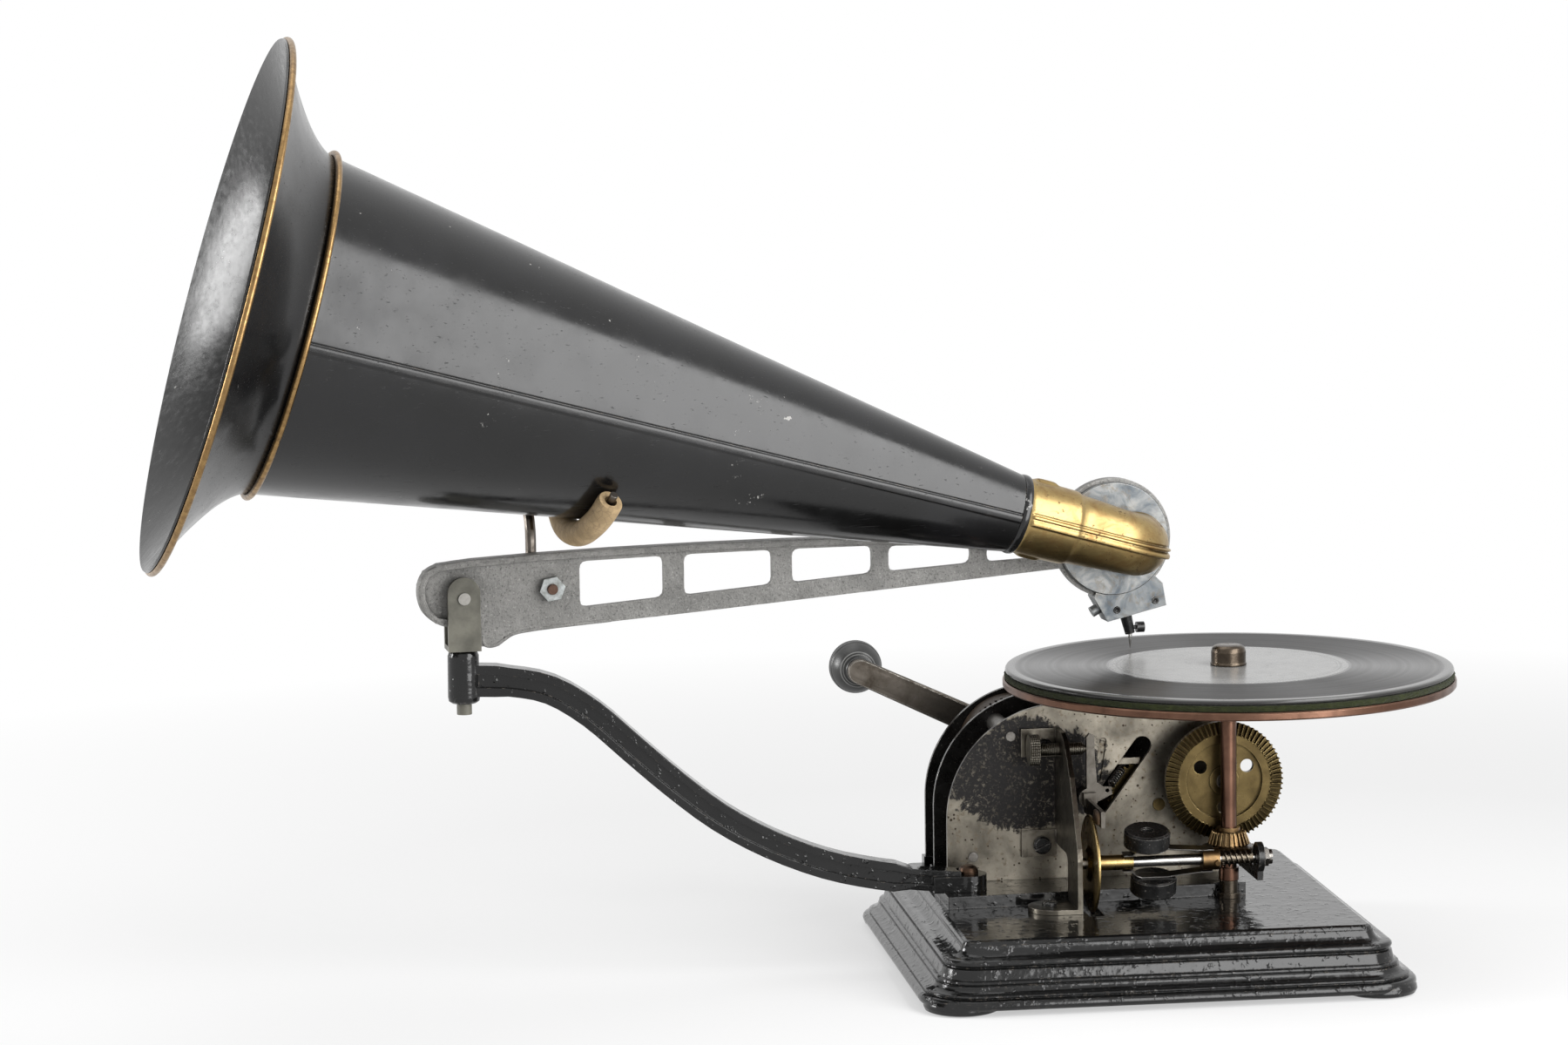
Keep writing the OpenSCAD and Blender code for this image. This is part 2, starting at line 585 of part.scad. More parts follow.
// Cheese-head screw with its head at z 0 and its shank below
module cheese_screw(d, head_d, head_h, length) {
    difference() {
        union() {
            translate([0, 0, -length]) cylinder(d = d, h = length);
            cylinder(d = head_d, h = head_h * 0.7);
            translate([0, 0, head_h * 0.7]) cylinder(d1 = head_d, d2 = head_d - head_h * 0.6, h = head_h * 0.3);
        }
        translate([-head_d, -0.4, head_h * 0.5]) cube([2 * head_d, 0.8, head_h]);
    }
}
module front_screw(c, y, head_d, length, turn) {
    at(c) translate([0, y, 0]) rotate([90, 0, 0]) rotate(turn) cheese_screw(2.9, head_d, 2.4, length);
}
module bracket_screws() {
    color([0.12, 0.11, 0.11]) {
        front_screw(bracket_screw_c, ear_y - 0.02, 7.2, 4.5, 25);
        front_screw(bracket_top_c, ear_y - 0.02, 6, 4.5, 70);
        front_screw(pivot_foot_c, ear_y - 0.02, 5, 4.5, 110);
        translate([tab_screw_x, tab_screw_y, base_h + seat_gap + 1.92]) rotate(40) cheese_screw(3, 6, 1.8, 6);
    }
}
eye_x = spindle_x + 9.2;
eye_t = 2.4;
eye_d = 12;
module pivot_bracket() {
    color([0.68, 0.66, 0.6]) difference() {
        union() {
            translate([0, governor_y, governor_z]) along_x(eye_x - eye_t / 2) cylinder(d = eye_d, h = eye_t);
            translate([eye_x - eye_t / 2, governor_y - 2.5, 35.5]) cube([eye_t, ear_y + wall_t - governor_y + 2.5, 5]);
            translate([eye_x - eye_t / 2, governor_y - 2.5, 35.5]) cube([eye_t, 5, 6]);
            translate([spindle_x - 3.4, ear_y, 35.5]) cube([eye_x - spindle_x + 3.4, wall_t, 5]);
        }
        translate([0, governor_y, governor_z]) along_x(eye_x - 5) cylinder(d = 5 + 2 * seat_gap, h = 10);
        at(pivot_foot_c) along_y(ear_y - 1) cylinder(d = 3.2, h = wall_t + 2);
    }
}
module pivot_screw() {
    color([0.78, 0.77, 0.72]) translate([0, governor_y, governor_z]) difference() {
        union() {
            along_x(eye_x - eye_t / 2 - 0.5) rod(5, 4.6);
            along_x(eye_x + eye_t / 2 + 0.05) cylinder(d = 8, h = 2.2, $fn = 6);
            along_x(eye_x + eye_t / 2 + 2.2) rod(6, 1.6);
        }
        along_x(eye_x - eye_t / 2 - 1) rod(2 + 2 * run_fit, 3.4);
        translate([eye_x + eye_t / 2 + 3, -4, -0.4]) cube([2, 8, 0.8]);
    }
}
module foot_bearing() {
    color([0.75, 0.74, 0.7]) translate([spindle_x, spindle_y, base_h]) difference() {
        union() {
            translate([0, 0, -2.8]) cylinder(d = 4.9, h = 3);
            translate([0, 0, seat_gap]) cylinder(d = 9.5, h = 2);
            translate([0, 0, seat_gap]) cylinder(d = 7.5, h = 6.9);
        }
        translate([0, 0, 1.5]) cylinder(d = 3.2 + 2 * run_fit, h = 8);
    }
}

// Brake and speed control

speed_z = 85.7;
lever_gap = 0.3;
screw_tip = stud_c[0] - 1.1;
stud_head = 5.2;
module brake_stud() {
    color([0.3, 0.29, 0.28]) at(stud_c) {
        along_y(-1 - face_gap - 2.8) translate([-stud_head / 2, -stud_head / 2, 0])
            cube([stud_head, stud_head, 2.8]);
        along_y(-1 - face_gap - 0.1) rod(3.2, plate_y + 1 + face_gap + 0.1);
        along_y(1 + face_gap) rod(6, plate_y - 1 - face_gap - seat_gap);
        along_y(plate_y - 1) rod(2.9, plate_t + 1);
    }
}
module speed_screw() {
    head_x = wall_x - 12.4;
    flutes = 36;
    color([0.72, 0.7, 0.62]) translate([0, 0, speed_z]) {
        along_x(head_x) linear_extrude(4) polygon([for (i = [0 : 2 * flutes - 1])
            let (r = i % 2 == 0 ? 6.25 : 5.95, a = 180 * i / flutes) r * [cos(a), sin(a)]]);
        along_x(head_x + 3.9) rod(5, screw_tip - 1.5 - head_x - 3.9);
        translate([screw_tip - 1.6, 0, 0]) rotate([0, 90, 0]) cylinder(d1 = 5, d2 = 2.6, h = 1.6);
    }
}
// Bell crank that carries the felt pad, drawn in the plane of the front plate
module brake_lever() {
    c = stud_c;
    left = screw_tip + lever_gap;
    color([0.4, 0.38, 0.36]) difference() {
        union() {
            along_y(-1) linear_extrude(2) {
                polygon([[left, c[1] + 2], [left, speed_z + 4.4], [left + 1.2, speed_z + 6.2], [left + 3.2, speed_z + 5.2],
                    [left + 3.4, speed_z - 4], [c[0] + 3.4, c[1] + 6.4], [c[0] + 6, c[1] + 4.6],
                    [c[0] + 9.4, c[1] + 4.4], [c[0] + 9.6, c[1] + 1.4], [c[0] + 4, c[1] - 1.4]]);
                translate(c) circle(r = 4);
            }
            // Forward tab that holds the pad beside the disc
            translate([c[0] - 1.6, governor_y - 5, c[1] - 5.9]) cube([1.6, -governor_y + 5, 6.5]);
            translate([c[0] - 1.6, -1, c[1] - 5.9]) cube([5, 2, 3.5]);
        }
        at(c) along_y(-3) cylinder(d = 3.2 + 2 * run_fit, h = 6);
        at([c[0] + 7.6, c[1] + 2.9]) along_y(-3) cylinder(d = 1.6, h = 6);
        // Cleared round the head of the stud, with room for the swing
        at(c) translate([-stud_head / 2 - 0.5, -1 - face_gap - 3.4, -stud_head / 2 - 0.5])
            cube([stud_head + 1.3, 3.4 + face_gap, stud_head + 2]);
    }
}
module brake_pad() {
    pad_x = disc_x + 1.4 + pad_gap;
    color([0.25, 0.16, 0.1]) translate([pad_x, governor_y - 4.4, stud_c[1] - 5.2])
        cube([stud_c[0] - 1.6 - seat_gap - pad_x, 8.8, 5.6]);
}
function spring_end() = [1.5, 76];
// Open helical tension spring; its lower hook passes through the eye of the lever
module brake_spring() {
    from = [stud_c[0] + 8.9, 1.6, stud_c[1] + 4.4];
    to = [spring_end()[0], plate_y + plate_t + 1.9, spring_end()[1]];
    axis = unit(to - from);
    e = unit(cross(axis, [0, 1, 0]));
    f = cross(axis, e);
    turns = 7;
    per_turn = 10;
    length = norm(to - from);
    coil = [for (i = [0 : turns * per_turn]) let (t = i / (turns * per_turn), a = 360 * i / per_turn)
        from + axis * (1.5 + (length - 5.6) * t) + 1.6 * (cos(a) * e + sin(a) * f)];
    path = concat([from], coil, [to]);
    color([0.55, 0.5, 0.45]) sweep(path, [for (q = path) round_outline(0.35, 6)], e + 0.3 * f);
}

// Spring barrel, winding gear and crank

winding_d = arbor_d + 2;
cage_y = frame_end_y + 6.5;
cage_posts = [0, 120, 240];
module spring_barrel() {
    color([0.72, 0.55, 0.28]) at(barrel_c) difference() {
        union() {
            along_y(barrel_y) gear(great_wheel_n, gear_module, gear_t, gap_to(barrel_angle + 180, great_wheel_n));
            along_y(barrel_y + gear_t - 0.1) rod(barrel_d, barrel_len - gear_t + 0.1);
        }
        along_y(barrel_y + gear_t + 1) rod(barrel_d - 3, barrel_len - gear_t - 2.5);
        along_y(barrel_y - 1) rod(winding_d + 2 * run_fit, barrel_len + 2);
    }
}
// Flat spring coiled from the arbor out to the barrel wall
module mainspring() {
    turns = 6;
    per_turn = 20;
    r_in = winding_d / 2 + 1.2;
    r_out = barrel_d / 2 - 1.5 - 0.75;
    n = turns * per_turn;
    side = [for (i = [0 : n]) let (r = r_in + (r_out - r_in) * i / n, a = 360 * i / per_turn) [r, a]];
    color([0.2, 0.2, 0.22]) at(barrel_c) along_y(barrel_y + gear_t + 1.3)
        linear_extrude(barrel_len - gear_t - 3.1) polygon(concat(
            [for (q = side) q[0] * [cos(q[1]), sin(q[1])]],
            [for (i = [n : -1 : 0]) (side[i][0] + 0.7) * [cos(side[i][1]), sin(side[i][1])]]));
}
module winding_arbor() {
    color([0.6, 0.6, 0.6]) at(barrel_c) {
        along_y(middle_y + 0.2) rod(winding_d, crank_y - middle_y - 3.2);
        along_y(crank_y - 3.1) rod(5.6, crank_t + 3.1);
        along_y(frame_end_y + face_gap) rod(11, 0.6);
    }
}
ratchet_teeth = 12;
ratchet_r = 10;
module ratchet_wheel() {
    pts = [for (i = [0 : ratchet_teeth - 1]) each
        let (a = 360 * i / ratchet_teeth) [ratchet_r * [cos(a), sin(a)], (ratchet_r - 2.2) * [cos(a + 3), sin(a + 3)]]];
    color([0.5, 0.48, 0.45]) at(barrel_c) along_y(frame_end_y + face_gap + 0.65) difference() {
        linear_extrude(3) polygon(pts);
        translate([0, 0, -1]) cylinder(d = winding_d + 2 * seat_gap, h = 5);
    }
}
module crank_arm() {
    color([0.42, 0.41, 0.4]) difference() {
        union() {
            along_y(crank_y) linear_extrude(crank_t) {
                true_slot(barrel_c, knob_c, crank_w);
                translate(barrel_c) circle(d = crank_w + 3);
            }
            at(barrel_c) along_y(crank_y - 2.8) rod(crank_w + 1, 3);
            // Fixed pin that the knob turns on
            at(knob_c) along_y(crank_y + crank_t - 0.5) rod(4, knob_d + 1.4);
            at(knob_c) along_y(crank_y + crank_t + knob_d + 0.9) rod(6, 1.2);
        }
        at(barrel_c) along_y(crank_y - 4) cylinder(d = 5.6 + 2 * seat_gap, h = crank_t + 8);
        at(knob_c) along_y(crank_y - 1) cylinder(d = 2.4, h = 2);
    }
}
module crank_knob() {
    r = knob_d / 2;
    base = crank_y + crank_t + face_gap;
    color([0.04, 0.04, 0.04]) at(knob_c) along_y(base) difference() {
        rotate_extrude() polygon(concat([[0, 0], [5.2, 0], [5.6, 0.8], [5.2, 1.8], [6, 2.2]],
            [for (a = [-52 : 13 : 78]) [r * cos(a), knob_d / 2 + r * sin(a)]], [[0, knob_d]]));
        for (h = [0.36, 0.5, 0.64]) translate([0, 0, knob_d * h]) rotate_extrude()
            translate([r * sqrt(1 - pow(2 * h - 1, 2)) + 0.25, 0]) circle(r = 0.6, $fn = 16);
        translate([0, 0, -1]) cylinder(d = 4 + 2 * run_fit, h = knob_d + 2);
    }
}
// Pawl resting just clear of the ratchet teeth
module pawl() {
    y = frame_end_y + face_gap + 0.65;
    color([0.5, 0.48, 0.45]) difference() {
        along_y(y) linear_extrude(3) {
            translate(pawl_c) circle(r = 2.7);
            polygon([step(pawl_c, 2.4, 62), step(barrel_c, ratchet_r + 3, 101), step(barrel_c, ratchet_r + 0.5, 100),
                step(pawl_c, 2.4, 242)]);
        }
        at(pawl_c) along_y(y - 1) cylinder(d = 2.6 + 2 * run_fit, h = 5);
    }
}
module pawl_pin() {
    color([0.3, 0.29, 0.28]) at(pawl_c) {
        along_y(back_y + 0.2) rod(2.6, frame_end_y - back_y + 4.4);
        along_y(frame_end_y + face_gap + 3.95) rod(4.6, 0.8);
    }
}

// Gear train

module first_lay_gear() {
    color([0.75, 0.6, 0.32]) at(first_c) {
        along_y(first_wheel_y) difference() {
            union() {
                gear(first_wheel_n, gear_module, gear_t, gap_to(first_angle + 180, first_wheel_n));
                translate([0, 0, -1]) rod(arbor_d + 3, 4.4);
            }
            for (a = [0 : 60 : 300]) translate([0, 0, -1])
                linear_extrude(gear_t + 2) translate(11.5 * [cos(a), sin(a)]) circle(r = 3.8);
            translate([0, 0, -2]) rod(arbor_d + 2 * seat_gap, 8);
        }
        along_y(middle_y + plate_t + 0.4) gear(first_pinion_n, gear_module, 4, barrel_angle);
        along_y(first_wheel_y - 1.5) rod(arbor_d, frame_end_y - first_wheel_y + 1.2);
    }
}
module second_lay_gear() {
    color([0.75, 0.6, 0.32]) at(second_c) {
        along_y(second_wheel_y) difference() {
            union() {
                gear(second_wheel_n, gear_module, gear_t, gap_to(second_angle + 180, second_wheel_n));
                translate([0, 0, -1]) rod(arbor_d + 3, 4.4);
            }
            for (a = [0 : 60 : 300]) translate([0, 0, -1])
                linear_extrude(gear_t + 2) translate(11 * [cos(a), sin(a)]) circle(r = 3.6);
            translate([0, 0, -2]) rod(arbor_d + 2 * seat_gap, 8);
        }
        along_y(first_wheel_y - 0.8) gear(second_pinion_n, gear_module, 4, first_angle);
        along_y(plate_y - 0.4) rod(arbor_d, middle_y + plate_t - plate_y + 0.2);
    }
}
module bevel_shaft() {
    color([0.68, 0.66, 0.6]) at(shaft_c) {
        along_y(bevel_pitch_y + 3.4) rod(arbor_d, middle_y + plate_t - bevel_pitch_y - 3.6);
        along_y(bevel_pitch_y + 3.4) rod(arbor_d + 4, 3);
        along_y(second_wheel_y - 0.8) gear(shaft_pinion_n, gear_module, 4, second_angle);
        // Screw that holds the bevel gear, with its head in front
        along_y(bevel_pitch_y - 0.6) rod(3, 5);
        along_y(bevel_pitch_y - 2.2) difference() {
            rod(7, 1.8);
            rotate(30) translate([-5, -0.45, -0.1]) cube([10, 0.9, 0.9]);
        }
    }
}
module bevel_gear() {
    ring_r = (1 - bevel_face) * bevel_r;
    color([0.76, 0.58, 0.28]) at(shaft_c) translate([0, bevel_pitch_y, 0]) rotate([90, 0, 0]) difference() {
        union() {
            bevel_ring(bevel_teeth, bevel_r, bevel_pinion_r, bevel_face, 3.3, -90);
            translate([0, 0, -3.3]) cylinder(r = ring_r + 0.1, h = 2.5);
            translate([0, 0, -3.3]) tube(2 * ring_r + 0.2, 2 * (ring_r - 3.4), 4.1);
            translate([0, 0, -3.3]) cylinder(r = 6, h = 3.6);
        }
        translate([0, 0, -4]) cylinder(d = 3 + 2 * seat_gap, h = 8);
        for (a = [30, 150, 270]) translate([11 * cos(a), 11 * sin(a), -4]) cylinder(d = 5.4, h = 8);
    }
}

// Spindle, turntable and record

pinion_low = bevel_z - bevel_r - 0.9;
worm_wheel_n = 30;
worm_starts = 3;
worm_tooth = 0.4;
worm_pitch_r = worm_r - worm_tooth;
wheel_pitch_r = governor_ahead - worm_pitch_r;
worm_lead = worm_starts * 2 * PI * wheel_pitch_r / worm_wheel_n;
wheel_half = min(2.4, pinion_low - seat_gap - governor_z);
module spindle() {
    color([0.55, 0.32, 0.2]) translate([spindle_x, spindle_y, 0]) {
        translate([0, 0, base_h + 1.9]) cylinder(d = 3.2, h = 6);
        translate([0, 0, base_h + 7.25]) cylinder(d = 8, h = 5);
        translate([0, 0, base_h + 7.25]) cylinder(d = spindle_d, h = table_z - base_h - 7.25 - seat_gap);
        cylinder_top = record_top + nut_h - 1.5;
        translate([0, 0, table_z - 1]) cylinder(d = 5.2, h = cylinder_top - table_z + 1);
    }
}
module turntable() {
    color([0.6, 0.36, 0.22]) translate([spindle_x, spindle_y, table_z]) difference() {
        rotate_extrude($fn = 96) polygon([[0, 0], [table_d / 2 - 0.5, 0], [table_d / 2, 0.6],
            [table_d / 2, table_t - 0.5], [table_d / 2 - 0.5, table_t], [0, table_t]]);
        translate([0, 0, -1]) cylinder(d = 5.2 + 2 * seat_gap, h = table_t + 2);
    }
}
module turntable_felt() {
    color([0.16, 0.24, 0.14]) translate([spindle_x, spindle_y, table_z + table_t + seat_gap])
        tube(table_d - 1.4, 7, felt_t - 2 * seat_gap, $fn = 96);
}
module record() {
    color([0.03, 0.03, 0.03]) translate([spindle_x, spindle_y, record_top - record_t]) difference() {
        rotate_extrude($fn = 96) polygon([[0, 0], [record_d / 2 - 0.6, 0], [record_d / 2, 0.6],
            [record_d / 2, record_t - 0.6], [record_d / 2 - 0.6, record_t], [0, record_t]]);
        translate([0, 0, -1]) cylinder(d = 7, h = record_t + 2);
    }
}
module clamp_nut() {
    r = nut_d / 2;
    color([0.3, 0.2, 0.13]) translate([spindle_x, spindle_y, record_top + seat_gap]) difference() {
        rotate_extrude() polygon(concat([[0, 0], [r, 0], [r, 1.6], [r - 0.9, 2], [r - 0.9, 2.5]],
            [for (a = [0 : 15 : 75]) [(r - 0.8) * cos(a), nut_h - 5 + 5 * sin(a)]], [[0, nut_h]]));
        translate([0, 0, -1]) cylinder(d = 5.2 + 2 * seat_gap, h = nut_h);
    }
}
module bevel_pinion() {
    face = bevel_face * bevel_r;
    bore_r = (1 - bevel_face) * bevel_pinion_r - 0.3;
    color([0.6, 0.42, 0.24]) translate([spindle_x, spindle_y, bevel_z - bevel_r]) difference() {
        union() {
            bevel_ring(bevel_pinion_teeth, bevel_pinion_r, bevel_r, bevel_face, 0.9, 90 + 180 / bevel_pinion_teeth);
            translate([0, 0, -0.9]) cylinder(r = bore_r, h = face + 0.5);
            cylinder(r = 4.6, h = face + 1.6);
        }
        translate([0, 0, -2]) cylinder(d = spindle_d + 2 * seat_gap, h = face + 6);
    }
}
// Wheel with slanted teeth that drives the worm
module worm_wheel() {
    lean = 2 * wheel_half * worm_lead / (2 * PI * worm_pitch_r) / wheel_pitch_r * 180 / PI;
    marks = [[-0.24, -worm_tooth - 0.3], [-0.12, worm_tooth], [0.12, worm_tooth], [0.24, -worm_tooth - 0.3]];
    outline = [for (i = [0 : worm_wheel_n - 1]) for (c = marks)
        let (a = 360 * (i + c[0]) / worm_wheel_n) (wheel_pitch_r + c[1]) * [cos(a), sin(a)]];
    color([0.6, 0.42, 0.24]) translate([spindle_x, spindle_y, governor_z - wheel_half]) difference() {
        union() {
            linear_extrude(2 * wheel_half, twist = -lean, slices = 4) rotate(-90 - lean / 2) polygon(outline);
            translate([0, 0, -1.2]) cylinder(r = 6.4, h = 1.3);
        }
        translate([0, 0, -3]) cylinder(d = spindle_d + 2 * seat_gap, h = 2 * wheel_half + 6);
    }
}

// Governor

sleeve_end = disc_x + 17.9;
collar_x = disc_x + 45.8;
weight_x = [disc_x + 23.4, disc_x + 26.8];
weight_in = 6.4;
governor_turn = 12;
shaft_left = wall_x + wall_t + face_gap;
shaft_right = eye_x - eye_t / 2 - 0.5 - face_gap;
worm_seat_d = 3;
module at_governor() { translate([0, governor_y, governor_z]) children(); }
module governor_shaft() {
    color([0.72, 0.71, 0.68]) at_governor() {
        along_x(shaft_left) rod(governor_shaft_d, worm_x0 - 0.1 - shaft_left);
        along_x(worm_x0 - 1) rod(worm_seat_d, shaft_right - worm_x0 + 1);
        along_x(shaft_left - 2) rod(2, 3);
        along_x(shaft_right - 0.5) rod(2, 2.7);
    }
}
worm_x0 = spindle_x - 6.4;
worm_len = 12.8;
// One thread of the worm, drawn along Z
module thread(start) {
    r0 = worm_pitch_r - worm_tooth - 0.4;
    pitch = worm_lead / worm_starts;
    per_turn = 20;
    turns = (worm_len - 1.2) / worm_lead;
    n = floor(turns * per_turn);
    marks = [[r0, -0.26], [r0, 0.26], [worm_r, 0.12], [worm_r, -0.12]];
    points = [for (i = [0 : n]) for (c = marks) let (a = 360 * i / per_turn + start)
        [c[0] * cos(a), c[0] * sin(a), 0.6 + worm_lead * i / per_turn + c[1] * pitch]];
    walls = [for (i = [0 : n - 1]) for (k = [0 : 3]) let (a = 4 * i + k, b = 4 * i + (k + 1) % 4)
        each [[a, a + 4, b], [b, a + 4, b + 4]]];
    polyhedron(points, concat(walls, [[0, 1, 2, 3]], [[4 * n + 3, 4 * n + 2, 4 * n + 1, 4 * n]]));
}
module governor_worm() {
    // Turn that puts the middle of a gap of the thread towards the worm wheel
    phase = 360 * (worm_len / 2 - 0.6) / worm_lead;
    color([0.7, 0.69, 0.66]) at_governor() difference() {
        along_x(worm_x0) union() {
            cylinder(r = worm_pitch_r - worm_tooth - 0.2, h = worm_len);
            for (k = [0 : worm_starts - 1]) thread(180 / worm_starts + 360 * k / worm_starts - phase);
        }
        along_x(worm_x0 - 1) cylinder(d = worm_seat_d + 2 * seat_gap, h = worm_len + 2);
    }
}
module friction_disc() {
    r = friction_disc_d / 2;
    bore_r = governor_shaft_d / 2 + seat_gap;
    color([0.74, 0.6, 0.32]) at_governor() along_x(disc_x) difference() {
        rotate_extrude() polygon([[0, -1], [5.6, -1], [7.4, 0.4], [r - 0.8, 0.4], [r, 0.7], [r, 1.4], [7, 1.4],
            [5.2, 0], [3.5, 0], [3.5, 2.6], [3.05, 2.6], [3.05, sleeve_end - disc_x], [0, sleeve_end - disc_x]]);
        translate([0, 0, -3]) cylinder(r = bore_r, h = 30);
    }
}
// Leaf spring from the sleeve over the inner face of a weight to the collar
module leaf(x) {
    r0 = 3.05 + seat_gap;
    r1 = weight_in - 0.45 - seat_gap;
    r2 = 4.4 + seat_gap;
    low = [[sleeve_end - 4, r0], [sleeve_end - 0.6, r0], [sleeve_end + 1.6, r1 - 0.7], [sleeve_end + 3.4, r1],
        [x + 5, r1], [x + 9, r1 - 0.5], [collar_x - 0.6, r2], [collar_x + 4.4, r2]];
    rotate([90, 0, 0]) translate([0, 0, -2.5]) linear_extrude(5)
        polygon(concat(low, [for (i = [len(low) - 1 : -1 : 0]) low[i] + [0, 0.45]]));
}
module governor_springs() {
    color([0.45, 0.42, 0.38]) at_governor() rotate([governor_turn, 0, 0]) {
        leaf(weight_x[0]);
        mirror([0, 0, 1]) leaf(weight_x[1]);
    }
}
module governor_weights() {
    color([0.06, 0.06, 0.065]) at_governor() rotate([governor_turn, 0, 0]) for (k = [0, 1]) mirror([0, 0, k])
        translate([weight_x[k], 0, weight_in + seat_gap]) difference() {
            rotate_extrude() polygon([[0, 0], [weight_d / 2 - 0.6, 0], [weight_d / 2, 0.6],
                [weight_d / 2, weight_t - 0.8], [weight_d / 2 - 0.8, weight_t], [0, weight_t]]);
            translate([0, 0, weight_t - 0.8]) cylinder(d = 5, h = 2);
        }
}
module governor_collar() {
    color([0.74, 0.58, 0.3]) at_governor() difference() {
        union() {
            along_x(collar_x) rod(8.8, 6.8);
            rotate([100, 0, 0]) translate([collar_x + 5.6, 0, 3]) rod(2.2, 2.6);
        }
        along_x(collar_x - 1) cylinder(d = governor_shaft_d + 2 * seat_gap, h = 9);
    }
}

// Swivel and carrier arm, in the arm frame: X is u, Y is n

module swivel_bracket() {
    low = boss_top_z + face_gap;
    pad = flange_w / 2 + 0.6;
    color([0.42, 0.42, 0.36]) arm_frame() difference() {
        union() {
            for (s = [0, 1]) mirror([0, s, 0]) along_y(pad) linear_extrude(leg_t) {
                translate([-leg_w / 2, low]) square([leg_w, tilt_z + 2 - low]);
                translate([0, tilt_z + 2]) circle(d = leg_w);
            }
            translate([-leg_w / 2, -pad - leg_t, low]) cube([leg_w, 2 * (pad + leg_t), leg_t]);
            translate([0, 0, boss_top_z - boss_h - 4.6]) cylinder(d = swivel_pin_d, h = boss_h + 6);
        }
        translate([0, 0, tilt_z]) along_y(-12) cylinder(d = 3.6 + 2 * seat_gap, h = 24);
    }
}
module tilt_pin() {
    half = flange_w / 2 + 0.6 + leg_t;
    color([0.5, 0.49, 0.44]) arm_frame() translate([0, 0, tilt_z]) {
        along_y(-half - 0.05) rod(3.6, 2 * half + 0.1);
        along_y(-half - 0.9) rod(4.8, 0.85);
        along_y(half + 0.05) rod(4.8, 0.85);
    }
}
// Corner rounding of a closed outline with short curves
function rounded(p, r) = [for (i = [0 : len(p) - 1])
    let (n = len(p), b = p[i], u = unit(p[(i + n - 1) % n] - b), v = unit(p[(i + 1) % n] - b),
         t = min(r, 0.45 * norm(p[(i + n - 1) % n] - b), 0.45 * norm(p[(i + 1) % n] - b)))
    for (s = [0, 0.33, 0.67, 1]) (1 - s) * (1 - s) * (b + t * u) + 2 * s * (1 - s) * b + s * s * (b + t * v)];
// Line beside an open line, at distance w on its right-hand side
function beside(p, w) = [for (i = [0 : len(p) - 1]) let (d = tangent(p, i)) p[i] + w * [d[1], -d[0]]];
// The arm is drawn for one reach. Past its cradle bolt it follows the place of the soundbox
drawn_reach = 265.7;
bolt_reach = 42;
function follow(p) = [for (q = p)
    [q[0] < bolt_reach ? q[0] : bolt_reach + (q[0] - bolt_reach) * (box_u - bolt_reach) / (drawn_reach - bolt_reach), q[1]]];
arm_top = follow([[-9.5, 167.6], [3.8, 169], [30, 170.3], [59.4, 171.2], [95, 171.8], [130, 172], [165, 171.6],
    [200, 170.2], [229, 168.4]]);
arm_left = [[-6, 143.9], [-11, 145], [-15, 148.6], [-17.1, 154], [-17.2, 159.6], [-14.8, 164.8]];
arm_low = follow([[247, 156], [210, 153.2], [165, 149.9], [94, 144.6], [38, 140.8], [22, 139.4], [16, 138], [14.2, 134.6],
    [7.25, 134.6], [7.25, 142.4], [5, 144.2], [0, 143.9]]);
arm_windows = [
    [[46.8, 148.4], [80.5, 151], [80.5, 167.6], [46.8, 166.8]],
    [[88.8, 151.4], [124.5, 154.2], [124.5, 168.2], [88.8, 167.9]],
    [[132.7, 154.6], [165.5, 157], [165.5, 168.2], [132.7, 168.3]],
    [[172.3, 157.4], [206.3, 159.4], [206.3, 166.9], [172.3, 167.9]],
    [[213, 159.6], [236, 160.6], [234, 164.6], [213, 166.6]]];
bolt_c = [35.4, 156.6];
ring_n = [-1.3, 2.7];
module carrier_arm() {
    color([0.42, 0.41, 0.39]) arm_frame() difference() {
        union() {
            along_y(-web_t / 2) linear_extrude(web_t) difference() {
                polygon(concat(arm_left, arm_top, arm_low));
                for (w = arm_windows) polygon(rounded(follow(w), 3));
            }
            along_y(-flange_w / 2) linear_extrude(flange_w)
                polygon(closed(beside(concat(arm_left, arm_top), -0.2), beside(concat(arm_left, arm_top), 2.2)));
            translate([0, 0, tilt_z]) along_y(-flange_w / 2) rod(9, flange_w);
            // Ring that holds the soundbox
            translate([box_u, 0, box_z]) along_y(ring_n[0]) cylinder(d = soundbox_d + 3, h = ring_n[1] - ring_n[0]);
        }
        translate([box_u, 0, box_z]) along_y(-8) cylinder(d = soundbox_d - 1.8, h = 16);
        translate([0, 0, tilt_z]) along_y(-8) cylinder(d = 3.6 + 2 * run_fit, h = 16);
        at(bolt_c) along_y(-4) cylinder(d = 4 + 2 * seat_gap, h = 8);
    }
}
module cradle_bolt() {
    nut_w = 9;
    color([0.45, 0.38, 0.3]) arm_frame() at(bolt_c) {
        along_y(-web_t / 2 - 4.4) rod(4, 12.4);
        along_y(-web_t / 2 - seat_gap - 3.2) rotate(10) cylinder(d = nut_w / cos(30), h = 3.2, $fn = 6);
        along_y(web_t / 2 + 2 * seat_gap + 3.4) rotate(20) cylinder(d = nut_w / cos(30), h = 2.8, $fn = 6);
    }
}
